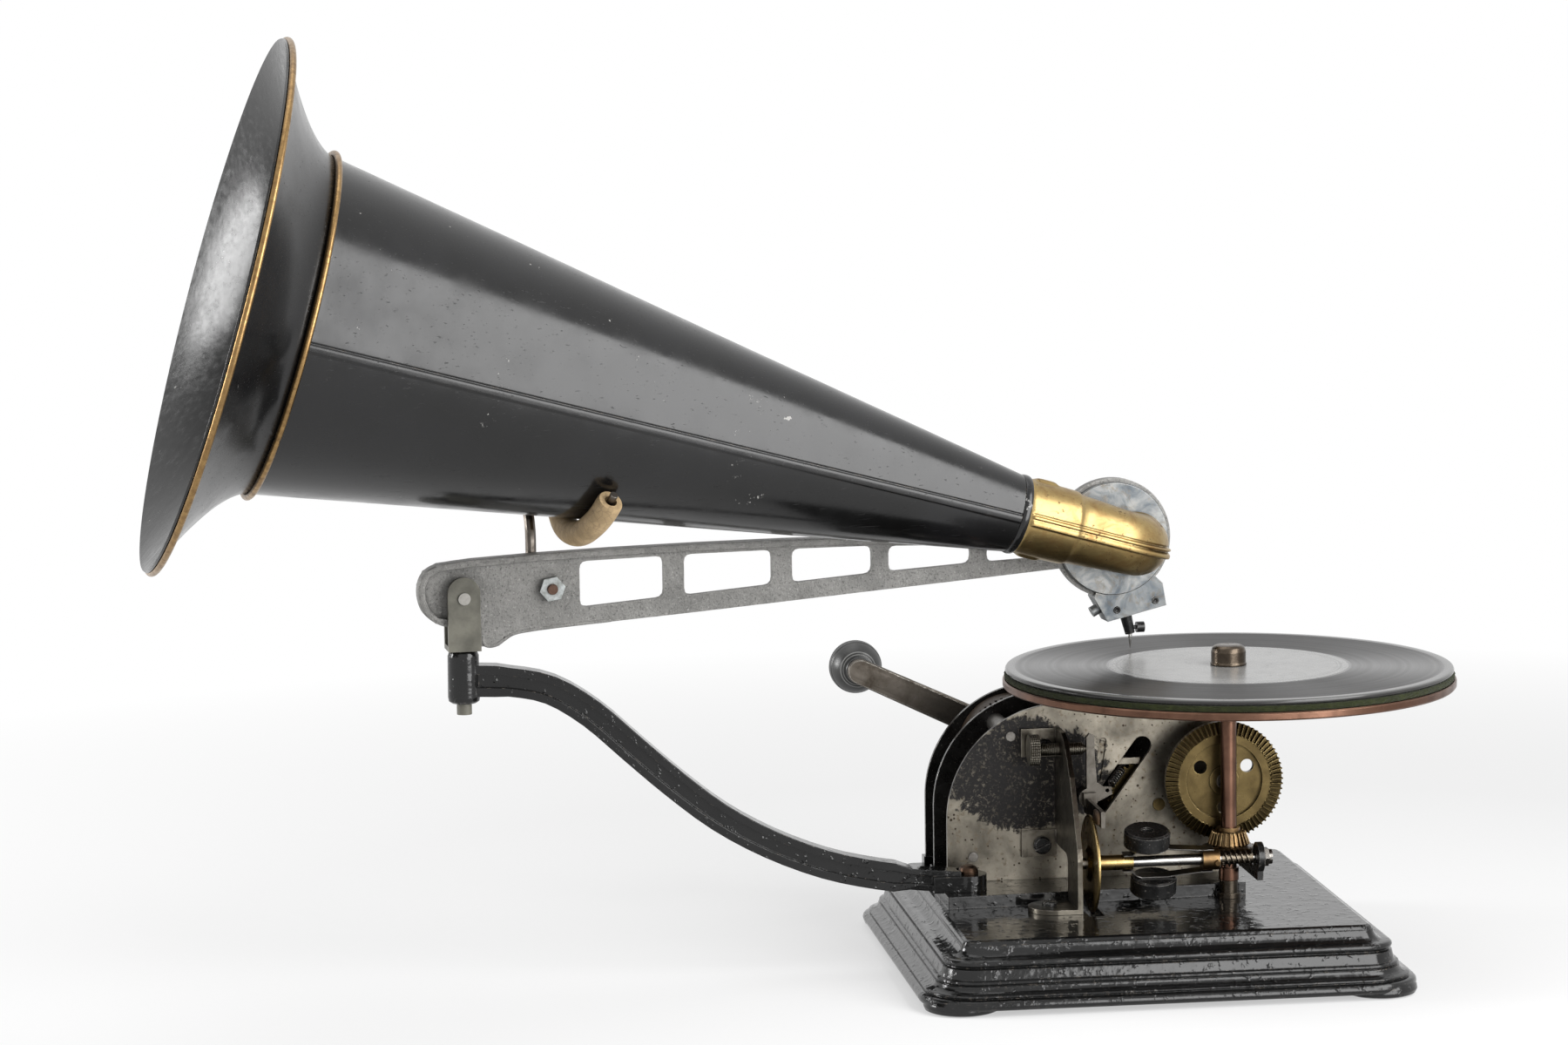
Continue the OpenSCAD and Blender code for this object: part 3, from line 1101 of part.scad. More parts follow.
// The cradle is a ring segment under the horn, in a plane nearly square to its axis
function horn_r(s) = throat_r + (cone_r - throat_r) * s / cone_len;
cradle_s = 170;
cradle_tube_r = 5.2;
cradle_tilt = 6;
cradle_r = horn_r(cradle_s) + (cradle_tube_r + 0.12) * 1.02 + 0.2;
cradle_near = 50;
cradle_far = 58;
module cradle_plane() {
    horn_frame() translate([0, 0.9, cradle_s]) rotate([cradle_tilt, 0, 0]) children();
}
module cradle_tube() {
    color([0.62, 0.5, 0.36]) cradle_plane() rotate(180 - cradle_far)
        rotate_extrude(angle = cradle_near + cradle_far) translate([cradle_r, 0]) difference() {
            circle(r = cradle_tube_r, $fn = fine_fn);
            circle(r = 1.7, $fn = 16);
        }
}
module cradle_rod() {
    wire_r = 1.6;
    rod_r = 2.2;
    path = [for (q = spline([[35, 3.4, 156.4], [30.6, 3.8, 158.6], [28.9, 5.9, 164.5], [28.8, 6.6, 172], [28.8, 7, 179],
        [28.4, 9.6, 186.5], [27.4, 16, 194.5], [26.4, 23.2, 203], [27.4, 28.8, 210], [31.6, 31.8, 214.6],
        [37.6, 31.8, 215], [42.4, 29.8, 211.9], [44.1, 27.2, 208.6]], 2)) q];
    color([0.5, 0.47, 0.42]) {
        arm_frame() difference() {
            union() {
                sweep(path, [for (q = path) round_outline(rod_r, 10)], [0.5, -0.8, 0.45]);
                at(bolt_c) along_y(web_t / 2 + seat_gap) rod(11, 3.4);
            }
            at(bolt_c) along_y(0) cylinder(d = 4 + 2 * seat_gap, h = 12);
            translate([bolt_c[0] - 8, web_t / 2 + seat_gap - 6, bolt_c[1] - 8]) cube([16, 6, 16]);
            translate([bolt_c[0] - 4.2, web_t / 2 + seat_gap + 3.4, bolt_c[1] - 8]) cube([12, 6, 16]);
        }
        // Wire through the tube, with its tip standing out at the near end
        cradle_plane() rotate(180 - cradle_far - 6)
            rotate_extrude(angle = cradle_near + cradle_far + 10) translate([cradle_r, 0]) circle(r = wire_r, $fn = 24);
    }
}

// Horn, elbow and soundbox

module horn_cone() {
    color([0.06, 0.055, 0.055]) horn_frame() difference() {
        cylinder(r1 = throat_r, r2 = cone_r, h = cone_len, $fn = 96);
        translate([0, 0, -0.01]) cylinder(r1 = throat_r - sheet_t, r2 = cone_r - sheet_t, h = cone_len + 0.02, $fn = 96);
    }
}
function bell_point(t) = [cone_r + (mouth_r - cone_r) * pow(t, 1.6), cone_len + seat_gap + bell_len * t];
function bell_normal(t) = let (d = unit(bell_point(t + 0.01) - bell_point(max(t - 0.01, 0)))) [-d[1], d[0]];
module horn_bell() {
    steps = [for (i = [0 : 12]) i / 12];
    color([0.06, 0.055, 0.055]) horn_frame() rotate_extrude($fn = 96) polygon(concat(
        [for (t = steps) bell_point(t)],
        [for (i = [12 : -1 : 0]) let (t = steps[i], q = bell_point(t) + sheet_t * bell_normal(t))
            [q[0], max(q[1], cone_len + seat_gap)]]));
}
module horn_beads() {
    joint_r = 1.6;
    rim_r = 1.5;
    lip = bell_point(1) - (rim_r + 0.06) * bell_normal(1) - 1.4 * unit(bell_point(1) - bell_point(0.99));
    color([0.7, 0.5, 0.24]) horn_frame() {
        translate([0, 0, cone_len]) rotate_extrude($fn = 96) translate([cone_r + joint_r + 0.35, 0])
            circle(r = joint_r, $fn = 20);
        translate([0, 0, lip[1]]) rotate_extrude($fn = 96) translate([lip[0], 0]) circle(r = rim_r, $fn = 20);
    }
}
module throat_ferrule() {
    color([0.05, 0.05, 0.05]) horn_frame() difference() {
        union() {
            translate([0, 0, -3.4]) cylinder(r = throat_r + 0.4, h = 3.35);
            translate([0, 0, -0.1]) cylinder(r = throat_r - sheet_t - 0.2, h = 8);
        }
        translate([0, 0, -4]) cylinder(r = throat_r - sheet_t - 1.3, h = 13);
    }
}
// Sheet brass: a stepped neck, a quarter bend and a short outlet, each lapped over the next
module horn_elbow() {
    neck_s = elbow_end_s - elbow_bend;
    lap = 0.5;
    outline = [[throat_r - 0.6, 3.45], [throat_r - 0.8, 24], [throat_r - 1.5, 25.6], [throat_r - 1.9, 28],
        [elbow_r + lap, neck_s - 1], [elbow_r + lap, neck_s + 0.6]];
    color([0.72, 0.56, 0.3]) horn_frame() {
        union() {
            mirror([0, 0, 1]) rotate_extrude() polygon(closed(outline, [for (q = outline) q - [1, 0]]));
            translate([0, elbow_bend, -neck_s]) rotate([-90, 0, 0]) rotate([0, 90, 0])
                rotate_extrude(angle = 90) translate([elbow_bend, 0]) difference() {
                    circle(r = elbow_r, $fn = 48);
                    circle(r = elbow_r - 1, $fn = 48);
                }
            translate([0, elbow_bend - 0.6, -elbow_end_s]) rotate([-90, 0, 0])
                tube(2 * (elbow_r + lap), 2 * (elbow_r + lap - 1), 3);
            // Lapped seam with its rivets along the near side
            translate([-3.5, -throat_r + 0.1, -22]) cube([7, 1, 16]);
            for (s = [9, 19]) translate([0, 1.2 - throat_r, -s]) rotate([90, 0, 0]) cylinder(d = 3, h = 1.6);
        }
    }
}
bar_low = [9.8, 40.5];
bar_high = [7.6, 31.4];
bar_n = 11;
module soundbox_case() {
    r = soundbox_d / 2;
    color([0.6, 0.5, 0.36]) soundbox_frame() difference() {
        union() {
            difference() {
                rotate_extrude() polygon([[0, seat_gap], [r - 0.4, seat_gap], [r, 0.5], [r, 2.2], [r - 0.3, 2.5],
                    [r - 1, 2.5], [r - 1, soundbox_depth], [0, soundbox_depth]]);
                translate([0, 0, 2.5]) cylinder(r = r - 4.6, h = soundbox_depth);
                translate([0, 0, 7.4]) cylinder(r = r - 2.6, h = diaphragm_t + 0.1);
            }
            // Lug block that carries the stylus bar
            translate([0, 0, 0.5]) linear_extrude(soundbox_depth - 0.5)
                polygon([[-7.1, 20.6], [-8.2, 24], [-2.6, 33.9], [22.1, 28.1], [20.6, 19], [14, 12.5], [10, 18]]);
            translate([-5.2, 28.6, 5]) rotate([0, 0, 151]) rotate([0, 90, 0]) cylinder(d = 4.4, h = 3.6);
        }
        translate([inlet[0], inlet[1], -1]) cylinder(r = elbow_r - 1, h = 3.6);
        translate([0, 0, 2.5]) cylinder(r = r - 4.6, h = soundbox_depth);
        translate([0, 0, 7.4]) cylinder(r = r - 2.6, h = diaphragm_t + 0.1);
        // Groove for the ring of the carrier arm
        translate([0, 0, ring_n[0] - box_n - 0.05]) difference() {
            cylinder(r = r + 1.6, h = ring_n[1] - ring_n[0] + 0.1);
            translate([0, 0, -1]) cylinder(r = r - 1, h = 8);
        }
        // Channel of the stylus bar
        translate([bar_high[0], bar_high[1], 0]) rotate(atan2(bar_low[1] - bar_high[1], bar_low[0] - bar_high[0]))
            translate([-26, -2.9, bar_n - 2.9]) cube([40, 5.8, 8]);
        for (c = lug_screw_places) translate([c[0], c[1], -1]) cylinder(d = 3.1, h = 8);
    }
}
lug_screw_places = [[1.2, 29.2], [17.4, 26]];
module lug_screws() {
    color([0.5, 0.42, 0.3]) soundbox_frame() for (c = lug_screw_places)
        translate([c[0], c[1], 0.45]) mirror([0, 0, 1]) rotate(30) cheese_screw(3, 4.8, 1.6, 5);
}
module diaphragm() {
    color([0.75, 0.73, 0.68]) soundbox_frame() translate([0, 0, 7.45]) cylinder(r = soundbox_d / 2 - 2.65, h = diaphragm_t);
}
module stylus_bar() {
    slope = atan2(bar_low[1], bar_low[0]);
    reach = norm(bar_low);
    color([0.5, 0.4, 0.25]) soundbox_frame() difference() {
        union() {
            translate([0, 0, bar_n]) rotate(slope) rotate([0, 90, 0]) {
                translate([0, 0, 30]) cylinder(d1 = 5.5, d2 = 4, h = reach - 30);
                translate([0, 0, -2]) cylinder(d = 1.6, h = 33);
            }
            // Foot that the diaphragm is held by
            translate([0, 0, 7.45 + diaphragm_t + 0.02]) cylinder(d = 3, h = bar_n - 7.45 - diaphragm_t + 0.8);
        }
        translate([bar_low[0], bar_low[1], bar_n]) rotate([-90, 0, 0]) translate([0, 0, -4.5]) cylinder(d = needle_d + 0.1, h = 8);
        translate([bar_low[0], bar_low[1] - 2.4, bar_n]) rotate([0, 90, 0]) cylinder(d = 1.7, h = 6);
    }
}
needle_tip_z = record_top + needle_gap;
module needle() {
    top = box_z - bar_low[1] + 4.3;
    color([0.75, 0.75, 0.75]) arm_frame() translate([box_u + bar_low[0], box_n + bar_n, 0]) {
        translate([0, 0, needle_tip_z + 5]) cylinder(d = needle_d, h = top - needle_tip_z - 5);
        translate([0, 0, needle_tip_z]) cylinder(d1 = 0.3, d2 = needle_d, h = 5.01);
    }
}
module needle_screw() {
    color([0.5, 0.4, 0.25]) soundbox_frame() translate([bar_low[0], bar_low[1] - 2.4, bar_n]) rotate([0, 90, 0]) {
        translate([0, 0, needle_d / 2 + 0.05]) cylinder(d = 1.6, h = 3);
        translate([0, 0, 2.6]) cylinder(d = 4.4, h = 3.2);
    }
}

base_casting();
support_arm();
support_screw();
front_plate();
middle_plate();
back_plate();
plate_pillars();
plate_screws();
governor_bracket();
bracket_screws();
pivot_bracket();
pivot_screw();
foot_bearing();
brake_stud();
speed_screw();
brake_lever();
brake_pad();
brake_spring();
spring_barrel();
mainspring();
winding_arbor();
ratchet_wheel();
crank_arm();
crank_knob();
pawl();
pawl_pin();
first_lay_gear();
second_lay_gear();
bevel_shaft();
bevel_gear();
spindle();
turntable();
turntable_felt();
record();
clamp_nut();
bevel_pinion();
worm_wheel();
governor_shaft();
governor_worm();
friction_disc();
governor_weights();
governor_springs();
governor_collar();
swivel_bracket();
tilt_pin();
carrier_arm();
cradle_bolt();
cradle_rod();
cradle_tube();
horn_cone();
horn_bell();
horn_beads();
throat_ferrule();
horn_elbow();
soundbox_case();
lug_screws();
diaphragm();
stylus_bar();
needle();
needle_screw();
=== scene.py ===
"""Disc talking machine: looks of the built frame, laid out as an add-on.

Lengths in the functions are millimetres in the frame's own axes (X right, Y away, Z up);
they become metres when a mesh is made.
"""

import math

import bpy
import numpy as np
from mathutils import Matrix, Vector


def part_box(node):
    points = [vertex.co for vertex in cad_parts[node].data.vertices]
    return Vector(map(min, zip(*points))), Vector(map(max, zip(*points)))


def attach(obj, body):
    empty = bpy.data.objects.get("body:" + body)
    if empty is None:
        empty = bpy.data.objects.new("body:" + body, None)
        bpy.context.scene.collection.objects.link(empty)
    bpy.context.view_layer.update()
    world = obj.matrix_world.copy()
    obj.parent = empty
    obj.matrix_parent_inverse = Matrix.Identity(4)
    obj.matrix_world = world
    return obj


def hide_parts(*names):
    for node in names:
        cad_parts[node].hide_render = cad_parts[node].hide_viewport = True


bl_info = {
    "name": "Talking machine",
    "version": (1, 0, 0),
    "blender": (4, 5, 0),
    "location": "View3D > Sidebar > Talking machine",
    "description": "Makes the horn, record, crank knob and finishes of a disc talking machine",
    "category": "Add Mesh",
}

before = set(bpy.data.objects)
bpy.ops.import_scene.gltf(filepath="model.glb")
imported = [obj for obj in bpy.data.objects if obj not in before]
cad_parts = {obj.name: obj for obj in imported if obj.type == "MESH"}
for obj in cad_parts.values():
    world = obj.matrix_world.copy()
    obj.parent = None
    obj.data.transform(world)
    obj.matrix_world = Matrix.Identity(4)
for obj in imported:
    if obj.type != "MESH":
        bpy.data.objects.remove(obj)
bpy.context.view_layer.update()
MM = 0.001

# Places of the moving frames

SPINDLE = np.array([37.4, -15.7, 0.0])
BOSS = np.array([-266.0, 2.9, 0.0])
ARM_YAW = math.radians(5.0)
HORN_RISE = math.radians(16.3)
THROAT = np.array([218.5, -20.0, 181.5])
ELBOW_NECK = 44.4
ELBOW_BEND = 13.6
CRADLE_RING = 50.45
ARM_BACK = [(-4.5, 143.5), (-8.0, 143.8), (-12.3, 146.0), (-15.6, 149.4), (-17.2, 154.2),
            (-17.2, 159.4), (-15.2, 164.0), (-10.0, 167.3), (3.8, 169.0), (30.0, 170.3), (59.4, 171.2),
            (95.0, 171.8), (130.0, 172.0), (165.0, 171.6), (200.0, 170.2), (226.0, 168.6)]
ARM_HOOK = [(60.0, 142.35), (38.0, 140.8), (26.0, 139.7), (20.0, 138.6), (16.6, 136.6), (13.6, 134.7),
            (10.6, 134.1), (8.2, 134.9), (7.4, 137.0), (7.3, 140.0)]
KNOB_PLACE = np.array([-94.393, 102.3, 104.087])
CRADLE_PLACE = np.array([0.0, 0.9, 170.0])
CRADLE_TIP = math.radians(6.0)
LUG_CORNER = np.array([-8.5, 16.0, 2.0])


def turn_z(angle):
    """Turn about Z as a 3 x 3 matrix."""
    c, s = math.cos(angle), math.sin(angle)
    return np.array([[c, -s, 0], [s, c, 0], [0, 0, 1.0]])


def turn_y(angle):
    """Turn about Y as a 3 x 3 matrix."""
    c, s = math.cos(angle), math.sin(angle)
    return np.array([[c, 0, s], [0, 1.0, 0], [-s, 0, c]])


def turn_x(angle):
    """Turn about X as a 3 x 3 matrix."""
    c, s = math.cos(angle), math.sin(angle)
    return np.array([[1.0, 0, 0], [0, c, -s], [0, s, c]])


def in_arm(points):
    """Arm axes (along, away, up) turned by the yaw about the boss."""
    return points @ turn_z(ARM_YAW).T + BOSS


def in_horn(points):
    """Horn axes (up and across, away, out to the mouth) set at the throat on the arm."""
    return in_arm(points @ turn_y(HORN_RISE - math.pi / 2.0).T + THROAT)


def in_cradle(points):
    """Axes of the ring that holds the horn, tipped a little against the horn's own."""
    return in_horn(points @ turn_x(CRADLE_TIP).T + CRADLE_PLACE)


def on_spindle(points):
    """Axes of the upright spindle."""
    return points + SPINDLE


def on_crank(points):
    """Axes of the knob: its own axis points away from the viewer."""
    return points @ turn_x(math.radians(-90.0)).T + KNOB_PLACE


# Surfaces as grids

def unit(vectors):
    """Vectors of length one in the same directions."""
    return vectors / np.linalg.norm(vectors, axis=-1, keepdims=True)


def about_axis(radius, angles, along):
    """Points about the axis: x = r cos a, y = r sin a, z = the distance along it."""
    return np.stack(np.broadcast_arrays(radius * np.cos(angles), radius * np.sin(angles), along), -1)


def turned(profile, angles):
    """Each profile point (r, z) goes round the axis."""
    p = np.asarray(profile, float)
    return about_axis(p[:, :1], angles, p[:, 1:])


def full_turn(count):
    """Even angles once round."""
    return np.linspace(0.0, 2.0 * math.pi, count, endpoint=False)


def eased(points, radius, steps=5):
    """Corners of an outline rounded: each inner corner becomes a quadratic arc of about the radius."""
    pts = [np.asarray(p, float) for p in points]
    out = [pts[0]]
    for a, b, c in zip(pts[:-2], pts[1:-1], pts[2:]):
        la, lc = np.linalg.norm(a - b), np.linalg.norm(c - b)
        cut = min(radius, 0.45 * la, 0.45 * lc)
        p, q = b + (a - b) / la * cut, b + (c - b) / lc * cut
        t = np.linspace(0.0, 1.0, steps)[:, None]
        out.extend((1 - t) ** 2 * p + 2 * t * (1 - t) * b + t ** 2 * q)
    out.append(pts[-1])
    return np.array(out)


def smooth_path(points, count):
    """Catmull-Rom curve through the points, with even steps of its parameter."""
    p = np.asarray(points, float)
    t = np.linspace(0.0, len(p) - 1.0, count)
    i = np.minimum(t.astype(int), len(p) - 2)
    u = (t - i)[:, None]
    a, b = p[np.maximum(i - 1, 0)], p[i]
    c, d = p[i + 1], p[np.minimum(i + 2, len(p) - 1)]
    return 0.5 * (2 * b + (c - a) * u + (2 * a - 5 * b + 4 * c - d) * u ** 2
                  + (3 * b - a - 3 * c + d) * u ** 3)


def carried(path, radii, angles, side=(0.0, 1.0, 0.0)):
    """Round section carried along a path: point + r(t) (cos a across + sin a up)."""
    forward = unit(np.gradient(path, axis=0))
    across = unit(np.cross(forward, np.asarray(side, float)))
    up = np.cross(across, forward)
    a = np.atleast_2d(angles)
    r = np.asarray(radii, float).reshape(len(path), -1)
    return (path[:, None, :] + (r * np.cos(a))[..., None] * across[:, None, :]
            + (r * np.sin(a))[..., None] * up[:, None, :])


def grid_object(name, grid, poles=False, sharp=35.0):
    """Mesh object from a grid of points, row by column, with quads between neighbours.

    The last column joins the first. The last row joins the first too, or poles close both with a fan.
    The faces are turned round where the enclosed volume comes out negative.
    """
    rows, columns = grid.shape[:2]
    index = np.arange(rows * columns).reshape(rows, columns)
    if not poles:
        index = np.vstack([index, index[:1]])
    index = np.hstack([index, index[:, :1]])
    quads = np.stack([index[:-1, :-1], index[:-1, 1:], index[1:, 1:], index[1:, :-1]], -1).reshape(-1, 4)
    v, u = np.meshgrid(np.arange(index.shape[0]) / max(rows - 1, 1), np.arange(index.shape[1]) / columns,
                       indexing="ij")
    uv = np.stack([u, v], -1)
    corners = np.stack([uv[:-1, :-1], uv[:-1, 1:], uv[1:, 1:], uv[1:, :-1]], -2).reshape(-1, 4, 2)
    verts = grid.reshape(-1, 3)
    fans, fan_uv = np.zeros((0, 3), int), np.zeros((0, 3, 2))
    if poles:
        verts = np.vstack([verts, grid[0].mean(axis=0), grid[-1].mean(axis=0)])
        first, last = index[0], index[-1]
        n = rows * columns
        fans = np.vstack([
            np.stack([first[1:], first[:-1], np.full(len(first) - 1, n)], -1),
            np.stack([last[:-1], last[1:], np.full(len(last) - 1, n + 1)], -1)])
        low, high = uv[0], uv[-1]
        fan_uv = np.concatenate([
            np.stack([low[1:], low[:-1], 0.5 * (low[1:] + low[:-1])], -2),
            np.stack([high[:-1], high[1:], 0.5 * (high[1:] + high[:-1])], -2)])
    tris = np.vstack([quads[:, [0, 1, 2]], quads[:, [0, 2, 3]], fans])
    a, b, c = verts[tris[:, 0]], verts[tris[:, 1]], verts[tris[:, 2]]
    if np.einsum("ij,ij->", a, np.cross(b, c)) < 0:
        quads, corners = quads[:, ::-1], corners[:, ::-1]
        fans, fan_uv = fans[:, ::-1], fan_uv[:, ::-1]
    mesh = bpy.data.meshes.new(name)
    mesh.from_pydata((verts * MM).tolist(), [], quads.tolist() + fans.tolist())
    layer = mesh.uv_layers.new(name="surface")
    flat = np.concatenate([corners.reshape(-1), fan_uv.reshape(-1)])
    layer.data.foreach_set("uv", flat.astype(np.float32))
    mesh.polygons.foreach_set("use_smooth", np.ones(len(mesh.polygons), bool))
    mesh.set_sharp_from_angle(angle=math.radians(sharp))
    mesh.update()
    obj = bpy.data.objects.new(name, mesh)
    bpy.context.scene.collection.objects.link(obj)
    return obj


def piece(name, grid, material, body, slot, nodes=(), **options):
    """Object of a grid with its finish, moving body and the nodes that it stands for; its slot argument is
    not used.
    """
    obj = grid_object(name, grid, **options)
    obj.data.materials.append(bpy.data.materials[material])
    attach(obj, body)
    if nodes:
        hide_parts(*nodes)
    return obj


# Shader nodes

def scaled(colour, share):
    """Colour times a share."""
    return tuple(share * c for c in colour)


def feed(tree, socket, value):
    """A link where the value is an output, a constant on the socket where it is not."""
    if isinstance(value, bpy.types.NodeSocket):
        tree.links.new(value, socket)
    elif socket.type == "RGBA":
        socket.default_value = (*value, 1.0)
    else:
        socket.default_value = value


def add_node(tree, kind, inputs=(), **settings):
    """New shader node: first its settings, then its inputs by name or number."""
    node = tree.nodes.new("ShaderNode" + kind)
    for key, value in settings.items():
        setattr(node, key, value)
    for key, value in dict(inputs).items():
        feed(tree, node.inputs[key], value)
    return node


class Finish:
    """A material under construction: one principled surface and short calls for the nodes before it."""

    def __init__(self, name, metallic=0.0, specular=0.5):
        self.material = bpy.data.materials.new(name)
        self.material.use_nodes = True
        self.tree = self.material.node_tree
        self.tree.nodes.clear()
        self.shader = self.node("BsdfPrincipled", {"Metallic": metallic, "Specular IOR Level": specular})
        self.out = self.node("OutputMaterial", {0: self.shader.outputs[0]})
        self.coords = self.node("TexCoord").outputs["Object"]

    def node(self, kind, inputs=(), **settings):
        """New node in this material."""
        return add_node(self.tree, kind, inputs, **settings)

    def set(self, name, value):
        """Value or link on an input of the principled surface."""
        feed(self.tree, self.shader.inputs[name], value)

    def placed(self, shift=(0, 0, 0), scale=(1, 1, 1), turn=(0, 0, 0), source=None):
        """Object coordinates less a place, turned and stretched."""
        inputs = {"Vector": source or self.coords, "Location": shift, "Rotation": turn, "Scale": scale}
        return self.node("Mapping", inputs, vector_type="POINT").outputs[0]

    def noise(self, size, detail=3.0, rough=0.55, vector=None, warp=0.0):
        """Noise with features of about the given size in millimetres."""
        inputs = {"Vector": vector or self.coords, "Scale": 1.0 / (size * MM), "Detail": detail,
                  "Roughness": rough, "Distortion": warp}
        return self.node("TexNoise", inputs).outputs["Fac"]

    def patches(self, low, high, *size, **options):
        """Noise that goes from 0 to 1 between two of its values."""
        return self.ranged(self.noise(*size, **options), low, high)

    def cells(self, size, feature="F1"):
        """Distance to scattered points about the given size apart, in millimetres."""
        inputs = {"Vector": self.coords, "Scale": 1.0 / (size * MM)}
        return self.node("TexVoronoi", inputs, feature=feature).outputs["Distance"]

    def wave(self, pitch, vector=None, direction="X"):
        """Even ridges at the given pitch in millimetres."""
        inputs = {"Vector": vector or self.coords, "Scale": math.pi / 10.0 / (pitch * MM)}
        return self.node("TexWave", inputs, bands_direction=direction).outputs["Fac"]

    def ranged(self, value, low, high, out_low=0.0, out_high=1.0):
        """Linear map from one range to another, held at its ends."""
        inputs = {"Value": value, "From Min": low, "From Max": high, "To Min": out_low, "To Max": out_high}
        return self.node("MapRange", inputs).outputs["Result"]

    def maths(self, kind, a, b):
        """Two values put together by a sum of the given kind."""
        return self.node("Math", {0: a, 1: b}, operation=kind).outputs[0]

    def rest(self, share):
        """One less the share."""
        return self.maths("SUBTRACT", 1.0, share)

    def times(self, a, b):
        return self.maths("MULTIPLY", a, b)

    def blend(self, share, a, b):
        """Colour a turning into colour b by the share."""
        return self.node("Mix", {0: share, 6: a, 7: b}, data_type="RGBA").outputs[2]

    def blend_value(self, share, a, b):
        """Value a turning into value b by the share."""
        return self.node("Mix", {0: share, 2: a, 3: b}, data_type="FLOAT").outputs[0]

    def radius_from(self, vector, weights=(1.0, 1.0, 0.0)):
        """Length of a vector with weighted parts: without other weights, its distance from the Z axis."""
        flat = self.node("VectorMath", {0: vector, 1: weights}, operation="MULTIPLY").outputs[0]
        return self.node("VectorMath", {0: flat}, operation="LENGTH").outputs["Value"]

    def rounded(self, radius):
        """Normal that rounds the edges by the given radius in millimetres."""
        return self.node("Bevel", {"Radius": radius * MM}, samples=4).outputs[0]

    def edges(self, radius, reach):
        """Share that is 1 on outer edges: the softened normal leaves the surface normal there."""
        normal = self.node("NewGeometry").outputs["Normal"]
        dot = self.node("VectorMath", {0: self.rounded(radius), 1: normal}, operation="DOT_PRODUCT")
        return self.ranged(self.rest(dot.outputs["Value"]), 0.004, reach)

    def hollow_shade_and_dirt(self, reach, low=0.35, high=0.75):
        """Share that is 1 deep in the piece's own gaps and corners: painted shade where shade falls in them,
        with the oil and dust that stay there.
        """
        node = self.node("AmbientOcclusion", {"Distance": reach * MM}, samples=8, only_local=True)
        return self.ranged(node.outputs["AO"], high, low)

    def bump(self, heights, soft_edges=0.3):
        """Bump from (height share, depth in millimetres) pairs over softly rounded edges."""
        normal = self.rounded(soft_edges) if soft_edges else None
        for height, depth in heights:
            inputs = {"Strength": 1.0, "Distance": depth * MM, "Height": height}
            if normal:
                inputs["Normal"] = normal
            normal = self.node("Bump", inputs).outputs[0]
        self.set("Normal", normal)

    def surface(self, colour, roughness, metallic=None):
        """Finished material."""
        self.set("Base Color", colour)
        self.set("Roughness", roughness)
        if metallic is not None:
            self.set("Metallic", metallic)
        return self.material


# Finishes

# Turn that lays a stretched pattern along the horn, and shift that sets one on the spindle
ALONG_HORN = (0.0, 0.28, -0.087)
SPINDLE_SHIFT = tuple(-SPINDLE * MM)


def rubbed_edges(f, radius, breadth, patch, low=0.42, high=0.62):
    """Edge share broken up by patches, as hands and years rub a part."""
    return f.times(f.edges(radius, breadth), f.ranged(f.noise(patch, 4), low, high))


def cast_japan(colours):
    """Thick glossy japan over rough cast iron: soft lumps, pinholes and pale chips on the ridges."""
    f = Finish("cast_japan", specular=0.42)
    lumps = f.noise(6.0, 2, 0.5)
    ripple = f.noise(2.2, 2, 0.5)
    pits = f.ranged(f.cells(3.2), 0.02, 0.14)
    patch = f.patches(0.4, 0.65, 22.0, 4)
    colour = f.blend(patch, colours.japan, tuple(1.6 * c + 0.001 for c in colours.japan))
    rub = rubbed_edges(f, 0.6, 0.25, 2.4, 0.56, 0.66)
    colour = f.blend(rub, colour, (0.20, 0.17, 0.14))
    rough = f.blend_value(rub, f.ranged(f.noise(9.0, 3), 0.3, 0.7, 0.07, 0.15), 0.45)
    f.bump([(lumps, 0.16), (ripple, 0.04), (f.patches(0.6, 0.75, 3.0, 2), 0.2), (pits, 0.05)], 0.7)
    return f.surface(colour, rough)


def sheet_japan(colours):
    """Glossy black japan on sheet iron, with fine handling scratches and small pale scuffs."""
    f = Finish("sheet_japan", specular=0.45)
    slow = f.noise(35.0, 2, 0.5)
    peel = f.noise(2.2, 2, 0.5)
    scratch = f.patches(0.66, 0.72, 0.9, 2, 0.6, f.placed(scale=(0.06, 1.0, 1.0), turn=ALONG_HORN))
    chips = f.ranged(f.times(f.noise(3.4, 5, 0.7), f.noise(30.0, 2)), 0.43, 0.45)
    worn = rubbed_edges(f, 0.5, 0.3, 5.0, 0.5, 0.6)
    colour = f.blend(f.ranged(slow, 0.35, 0.65), colours.japan, (0.007, 0.007, 0.0075))
    colour = f.blend(f.times(chips, 0.8), colour, (0.42, 0.41, 0.39))
    colour = f.blend(worn, colour, (0.16, 0.12, 0.08))
    base = f.ranged(f.noise(12.0, 4), 0.3, 0.7, 0.13, 0.25)
    rough = f.blend_value(f.maths("MAXIMUM", scratch, chips), base, 0.5)
    f.bump([(slow, 0.18), (peel, 0.012), (scratch, 0.006)], 0.3)
    return f.surface(colour, rough)


